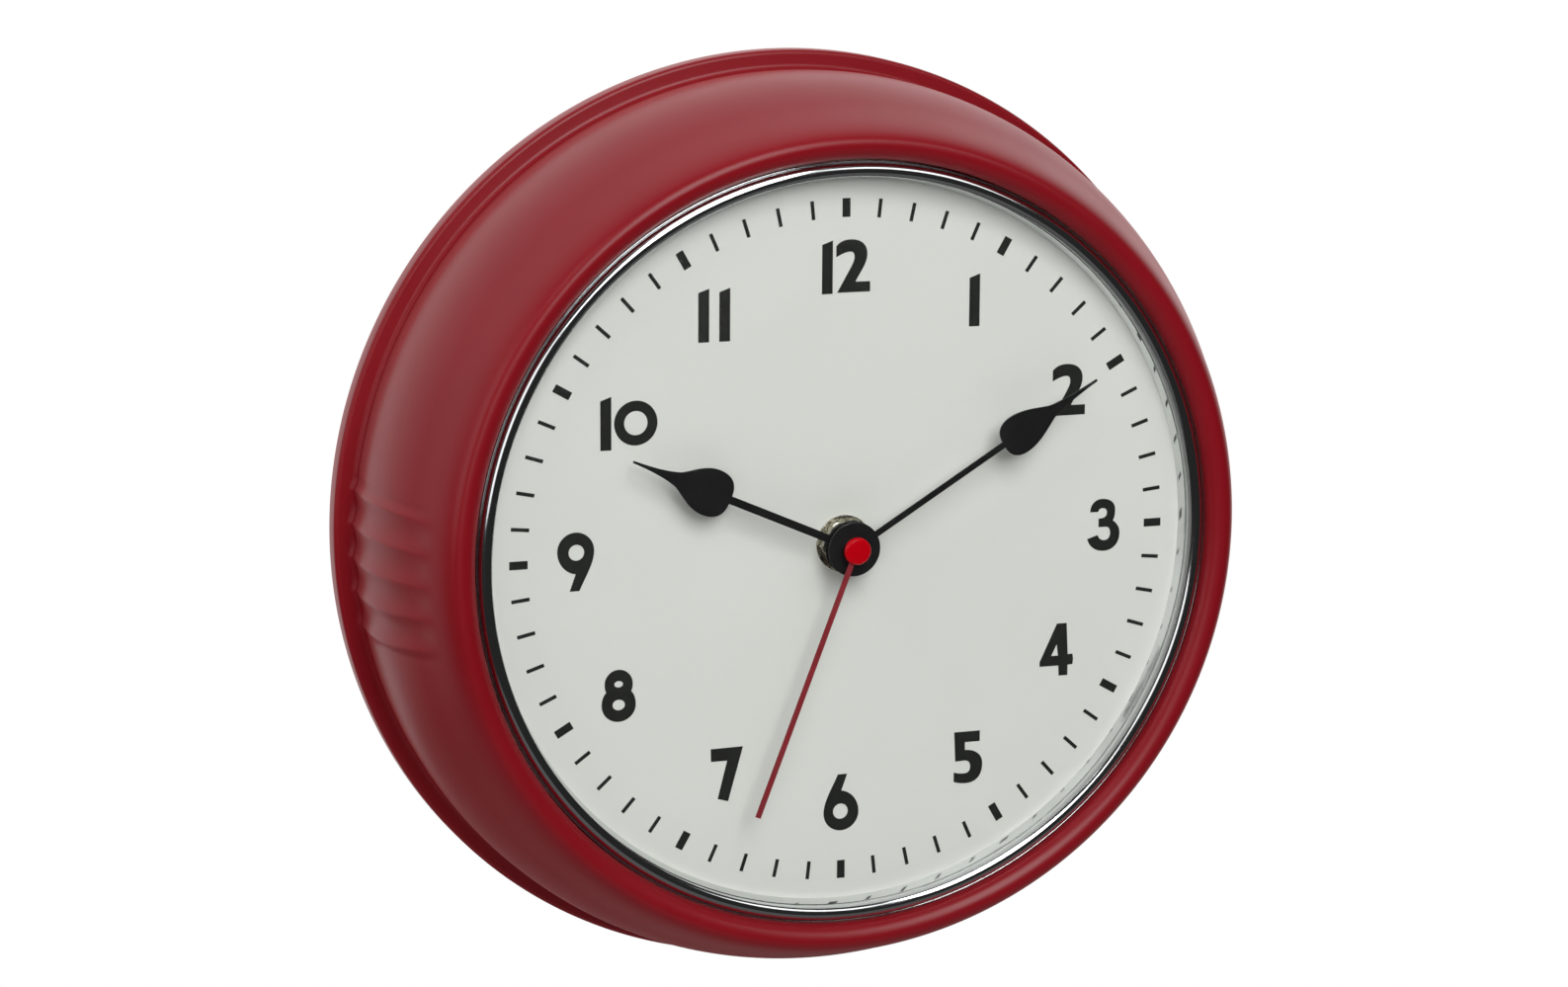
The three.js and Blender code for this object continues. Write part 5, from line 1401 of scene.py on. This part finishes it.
@dataclass
class Back:
    """The rear cover, the keyhole hanger, its rivets, the lugs and the cover screws."""

    shop: Workshop
    window_half: float = 35.0
    window_corner: float = 7.0
    hole_r: float = 1.75
    keyhole_up: float = 10.0
    keyhole_room: float = 1.0
    keyhole_rise: float = 8.0
    keyhole_r: float = 4.8
    keyhole_slot: float = 2.6

    def cover(self) -> None:
        """The flat cover with its window, keyhole room and screw holes."""
        low, high = limits("rear_cover")
        centre_z, half = middle("movement_front").z, self.window_half
        hole_z = limits("hanger_plate")[0].z + self.keyhole_up
        entry = self.keyhole_r + self.keyhole_room
        top = self.keyhole_rise + self.keyhole_slot + self.keyhole_room
        room = round_box((-entry, hole_z - entry), (entry, hole_z + top), 2)
        window = round_box((-half, centre_z - half), (half, centre_z + half), self.window_corner)
        outlines = [circle(0, 0, high.x, 320), window, room]
        outlines += self.holes(*(f"cover_screw_{i}" for i in (1, 2, 3, 4)))
        outlines += self.holes("hanger_rivet_1", "hanger_rivet_2")
        mesh = self.shop.flat("back_board", outlines, low.y, high.y, 0.2)
        self.shop.finish(mesh, Paint.COVER, "cover_black", "rear_cover")

    def holes(self, *nodes: str) -> list[list[Point]]:
        """A round hole for each fastener."""
        return [circle(middle(node).x, middle(node).z, self.hole_r) for node in nodes]

    def keyhole(self, z: float) -> list[Point]:
        """A round entry with a narrow slot above it."""
        start = math.degrees(math.acos(self.keyhole_slot / self.keyhole_r))
        slot = arc(0, z + self.keyhole_rise, self.keyhole_slot, 0, 180, 16)
        return slot + arc(0, z, self.keyhole_r, 180 - start, 360 + start, 40)

    def hanger(self) -> None:
        """The zinc-plated keyhole plate."""
        low, high = limits("hanger_plate")
        outlines = [round_box((low.x, low.z), (high.x, high.z), 4), self.keyhole(low.z + self.keyhole_up)]
        outlines += self.holes("hanger_rivet_1", "hanger_rivet_2")
        mesh = self.shop.flat("hanger", outlines, low.y, high.y, 0.18)
        self.shop.finish(mesh, Paint.ZINC, "plain_steel", "hanger_plate")

    def screw_mesh(self) -> bpy.types.Mesh:
        """One cover screw at its own origin: a domed slotted head towards +Y, on a threaded shank."""
        head_r, head, shank_r, length, pitch = 2.9, 1.6, 1.5, 6.0, 0.7
        points = [(0.0, -length), (0.7, -length)]
        for i in range(7):
            y = -length + 0.6 + i * pitch
            points += [(shank_r - 0.3, y), (shank_r, y + pitch / 2)]
        points += [(shank_r - 0.2, 0.0), (head_r, 0.0), (head_r, 0.5)]
        points += bezier((head_r, 0.5), (head_r, 1.2), (head_r - 0.9, head), (head_r - 1.4, head), 8)
        points += [(0.0, head)]
        blank = self.shop.link("screw_blank", self.shop.turned("screw_blank", points, even_turns(40)))
        slot = round_box((-4, -0.4), (4, 0.4), 0.1, 2)
        cutter = self.shop.link("screw_cut", self.shop.flat("screw_cut", [slot], head - 0.8, head + 1))
        cut = blank.modifiers.new("slot", "BOOLEAN")
        cut.object = cutter
        cut.operation = "DIFFERENCE"
        graph = bpy.context.evaluated_depsgraph_get()
        result = bpy.data.meshes.new_from_object(blank.evaluated_get(graph), depsgraph=graph)
        bpy.data.objects.remove(blank)
        bpy.data.objects.remove(cutter)
        return result

    def screw_tree(self, template: bpy.types.Object) -> GeometryBoard:
        """The geometry tree that sets the screws round the cover."""
        board = GeometryBoard("cover_screws", base=False)
        board.value("Count", "NodeSocketInt", 4)
        board.value("Radius", "NodeSocketFloat", self.screw_radius() * MM)
        board.value("Seat", "NodeSocketFloat", (limits("rear_cover")[1].y + 0.05) * MM)
        board.value("Screw", "NodeSocketObject", template)
        board.value("Seed", "NodeSocketInt", 7)
        board.value("Finish", "NodeSocketMaterial", self.shop.paint(Paint.ZINC))
        given = board.open().outputs
        circle = board.add("GeometryNodeMeshCircle", {"Vertices": given["Count"], "Radius": given["Radius"]})
        place = board.add("GeometryNodeTransform", {"Geometry": circle.outputs["Mesh"]})
        place.inputs["Rotation"].default_value = (math.pi / 2, -math.pi / 4, 0.0)
        board.feed(board.vector(0.0, given["Seat"], 0.0), place.inputs["Translation"])
        shape = board.add("GeometryNodeObjectInfo", {"Object": given["Screw"]})
        number = board.add("GeometryNodeInputIndex").outputs[0]
        angle = board.add("FunctionNodeRandomValue", {"ID": number, "Seed": given["Seed"]}, data_type="FLOAT")
        angle.inputs[2].default_value = 0.0
        angle.inputs[3].default_value = math.pi
        spin = board.vector(0.0, angle.outputs[1], 0.0)
        screws = board.add(
            "GeometryNodeInstanceOnPoints",
            {"Points": place.outputs[0], "Instance": shape.outputs["Geometry"], "Rotation": spin},
        )
        board.close(screws.outputs[0])
        return board

    def screw_radius(self) -> float:
        """How far the screws stand from the axis."""
        screw = middle("cover_screw_1")
        return math.hypot(screw.x, screw.z)

    def screws(self) -> None:
        """The four cover screws, each turned home at its own angle."""
        template = self.shop.link("screw_pattern", self.screw_mesh())
        piece = grown("cover_screws", self.screw_tree(template))
        bpy.data.objects.remove(template)
        piece.data.shade_smooth()
        piece.data.set_sharp_from_angle(angle=SMOOTH_ANGLE)
        nodes = [f"cover_screw_{i}" for i in (1, 2, 3, 4)]
        self.shop.hand_over(piece, "plain_steel", *nodes)

    def rivets(self) -> None:
        """The two domed rivets through the hanger and the cover."""
        meshes = []
        for i in (1, 2):
            low, high = limits(f"hanger_rivet_{i}")
            at = middle(f"hanger_rivet_{i}")
            head, shank, crown = (high.x - low.x) / 2, 1.6, 0.8
            front, back = low.y + crown, high.y - crown
            points = [(0.0, low.y)]
            points += bezier((0.0, low.y), (head * 0.7, low.y), (head, front - 0.3), (head, front), 8)
            points += [(shank, front), (shank, back), (head, back)]
            points += bezier((head, back), (head, back + 0.3), (head * 0.7, high.y), (0.0, high.y), 8)
            meshes.append(self.shop.turned(f"rivet_{i}", points, even_turns(48), (at.x, at.z)))
        mesh = self.shop.joined("hanger_rivets", meshes)
        self.shop.finish(mesh, Paint.ZINC, "plain_steel", "hanger_rivet_1", "hanger_rivet_2")

    def lugs(self) -> None:
        """The four angle lugs inside the case."""
        for i in (1, 2, 3, 4):
            mesh = self.shop.eased(f"lug_{i}", f"cover_lug_{i}", 0.2)
            self.shop.finish(mesh, Paint.CASE, "red_paint", f"cover_lug_{i}")

    def build(self) -> None:
        """Makes the back's pieces."""
        self.cover()
        self.hanger()
        self.screws()
        self.rivets()
        self.lugs()


# ------------------------------------------------------------------ the studio


@dataclass
class Studio:
    """The camera, the floor, the lights and the surroundings."""

    azimuth: float = -19.78
    elevation: float = 11.28
    roll: float = 0.34
    lens: float = 96.86
    distance: float = 1.0616
    aim_right: float = -0.01496
    aim_up: float = 0.01252
    floor_drop: float = 0.42
    floor_radius: float = 1.0
    floor_tone: float = 0.6
    floor_seen_in_gloss: float = 0.1
    behind_share: float = 0.8
    above_share: float = 0.45
    fall: Point = (0.05, 0.74)
    glow: Point = (0.025, 0.95)

    def camera(self) -> None:
        """The camera, aimed a little beside the dial's centre."""
        a, e = math.radians(self.azimuth), math.radians(self.elevation)
        back = Vector((math.sin(a) * math.cos(e), -math.cos(a) * math.cos(e), math.sin(e)))
        right = Vector((math.cos(a), math.sin(a), 0.0))
        up = back.cross(right)
        face = Vector((0.0, limits("dial_plate")[0].y * MM, 0.0))
        data = bpy.data.cameras.new("camera")
        data.lens = self.lens
        data.sensor_width = 36.0
        data.clip_start = 0.01
        camera = bpy.data.objects.new("camera", data)
        bpy.context.scene.collection.objects.link(camera)
        r = math.radians(self.roll)
        right, up = right * math.cos(r) + up * math.sin(r), up * math.cos(r) - right * math.sin(r)
        spot = face + right * self.aim_right + up * self.aim_up + back * self.distance
        axes = Matrix((right, up, back)).transposed().to_4x4()
        camera.matrix_world = Matrix.Translation(spot) @ axes
        bpy.context.scene.camera = camera

    def light(self, name: str, at: Vector, size: tuple[float, float], power: float) -> None:
        """One soft rectangular light that points at the clock.

        Args:
            name: The light's name.
            at: Where it stands.
            size: Its width and height in metres.
            power: Its power in watts.
        """
        data = bpy.data.lights.new(name, "AREA")
        data.shape = "RECTANGLE"
        data.size, data.size_y = size
        data.energy = power
        lamp = bpy.data.objects.new(name, data)
        turned = (at - LIGHT_AIM).to_track_quat("Z", "Y").to_matrix().to_4x4()
        lamp.matrix_world = Matrix.Translation(at) @ turned
        bpy.context.scene.collection.objects.link(lamp)

    def floor(self) -> None:
        """A plain pale floor, well below the hanging clock."""
        work = bmesh.new()
        bmesh.ops.create_circle(work, cap_ends=True, segments=96, radius=self.floor_radius)
        mesh = bpy.data.meshes.new("floor")
        work.to_mesh(mesh)
        work.free()
        mesh.transform(Matrix.Translation((0.0, 0.0, CAD_BOX[0].z - self.floor_drop)))
        floor = bpy.data.objects.new("floor", mesh)
        bpy.context.scene.collection.objects.link(floor)
        material = bpy.data.materials.new("pale_floor")
        material.use_nodes = True
        material.node_tree.nodes.clear()
        board = ShaderBoard(material.node_tree)
        rays = board.add("ShaderNodeLightPath")
        dimming = self.floor_seen_in_gloss - self.floor_tone
        shade = board.math("MULTIPLY_ADD", rays.outputs["Is Glossy Ray"], dimming, self.floor_tone)
        tone = board.add("ShaderNodeCombineColor", {0: shade, 1: shade, 2: shade}).outputs[0]
        shader = board.add(
            "ShaderNodeBsdfPrincipled",
            {
                "Base Color": tone, "Roughness": 0.8, "Specular IOR Level": 0.0,
                "Emission Color": (1.0, 1.0, 1.0, 1.0), "Emission Strength": rays.outputs["Is Camera Ray"],
            },
        )
        board.add("ShaderNodeOutputMaterial", {"Surface": shader.outputs[0]})
        mesh.materials.append(material)

    def surroundings(self) -> None:
        """White all round for the eye; for reflections, bright behind the wall and dim in front."""
        world = bpy.data.worlds.new("studio")
        bpy.context.scene.world = world
        world.use_nodes = True
        world.node_tree.nodes.clear()
        board = ShaderBoard(world.node_tree)
        towards = board.add("ShaderNodeTexCoord").outputs["Generated"]
        parts = board.add("ShaderNodeSeparateXYZ", {0: towards})
        raised = board.math("MULTIPLY", parts.outputs["Z"], self.above_share)
        height = board.math("MULTIPLY_ADD", parts.outputs["Y"], self.behind_share, raised)
        behind = board.span(height, self.fall, self.glow, interpolation_type="SMOOTHSTEP")
        rays = board.add("ShaderNodeLightPath")
        seen = board.math("MAXIMUM", behind, rays.outputs["Is Camera Ray"])
        shade = board.add("ShaderNodeBackground", {"Color": (1.0, 1.0, 1.0, 1.0), "Strength": seen})
        board.add("ShaderNodeOutputWorld", {"Surface": shade.outputs[0]})

    def build(self) -> None:
        """Sets the studio up."""
        bpy.context.scene.view_settings.view_transform = "Standard"
        self.camera()
        self.floor()
        self.surroundings()
        self.light("key", Vector((-0.02, -1.55, 1.05)), (0.9, 1.4), 26.0)
        self.light("left", Vector((-0.92, -1.5, 0.3)), (0.85, 0.9), 3.6)
        self.light("right", Vector((0.85, -1.3, 1.05)), (0.8, 0.6), 2.9)
        self.light("side", Vector((-1.6, -0.35, 0.45)), (0.8, 1.2), 5.0)
        self.light("rim", Vector((-1.05, -0.72, 1.3)), (0.3, 0.3), 1.6)


def main() -> None:
    """Builds the clock's pieces and the studio."""
    logging.basicConfig(level=logging.INFO, format="%(message)s")
    shop = Workshop()
    for part in (CaseShell(shop), FrontRings(shop), Dial(shop), Hands(shop), Movement(shop), Back(shop)):
        part.build()
        log.info("%s is in place", type(part).__name__)
    Studio().build()


if __name__ == "__main__":
    main()
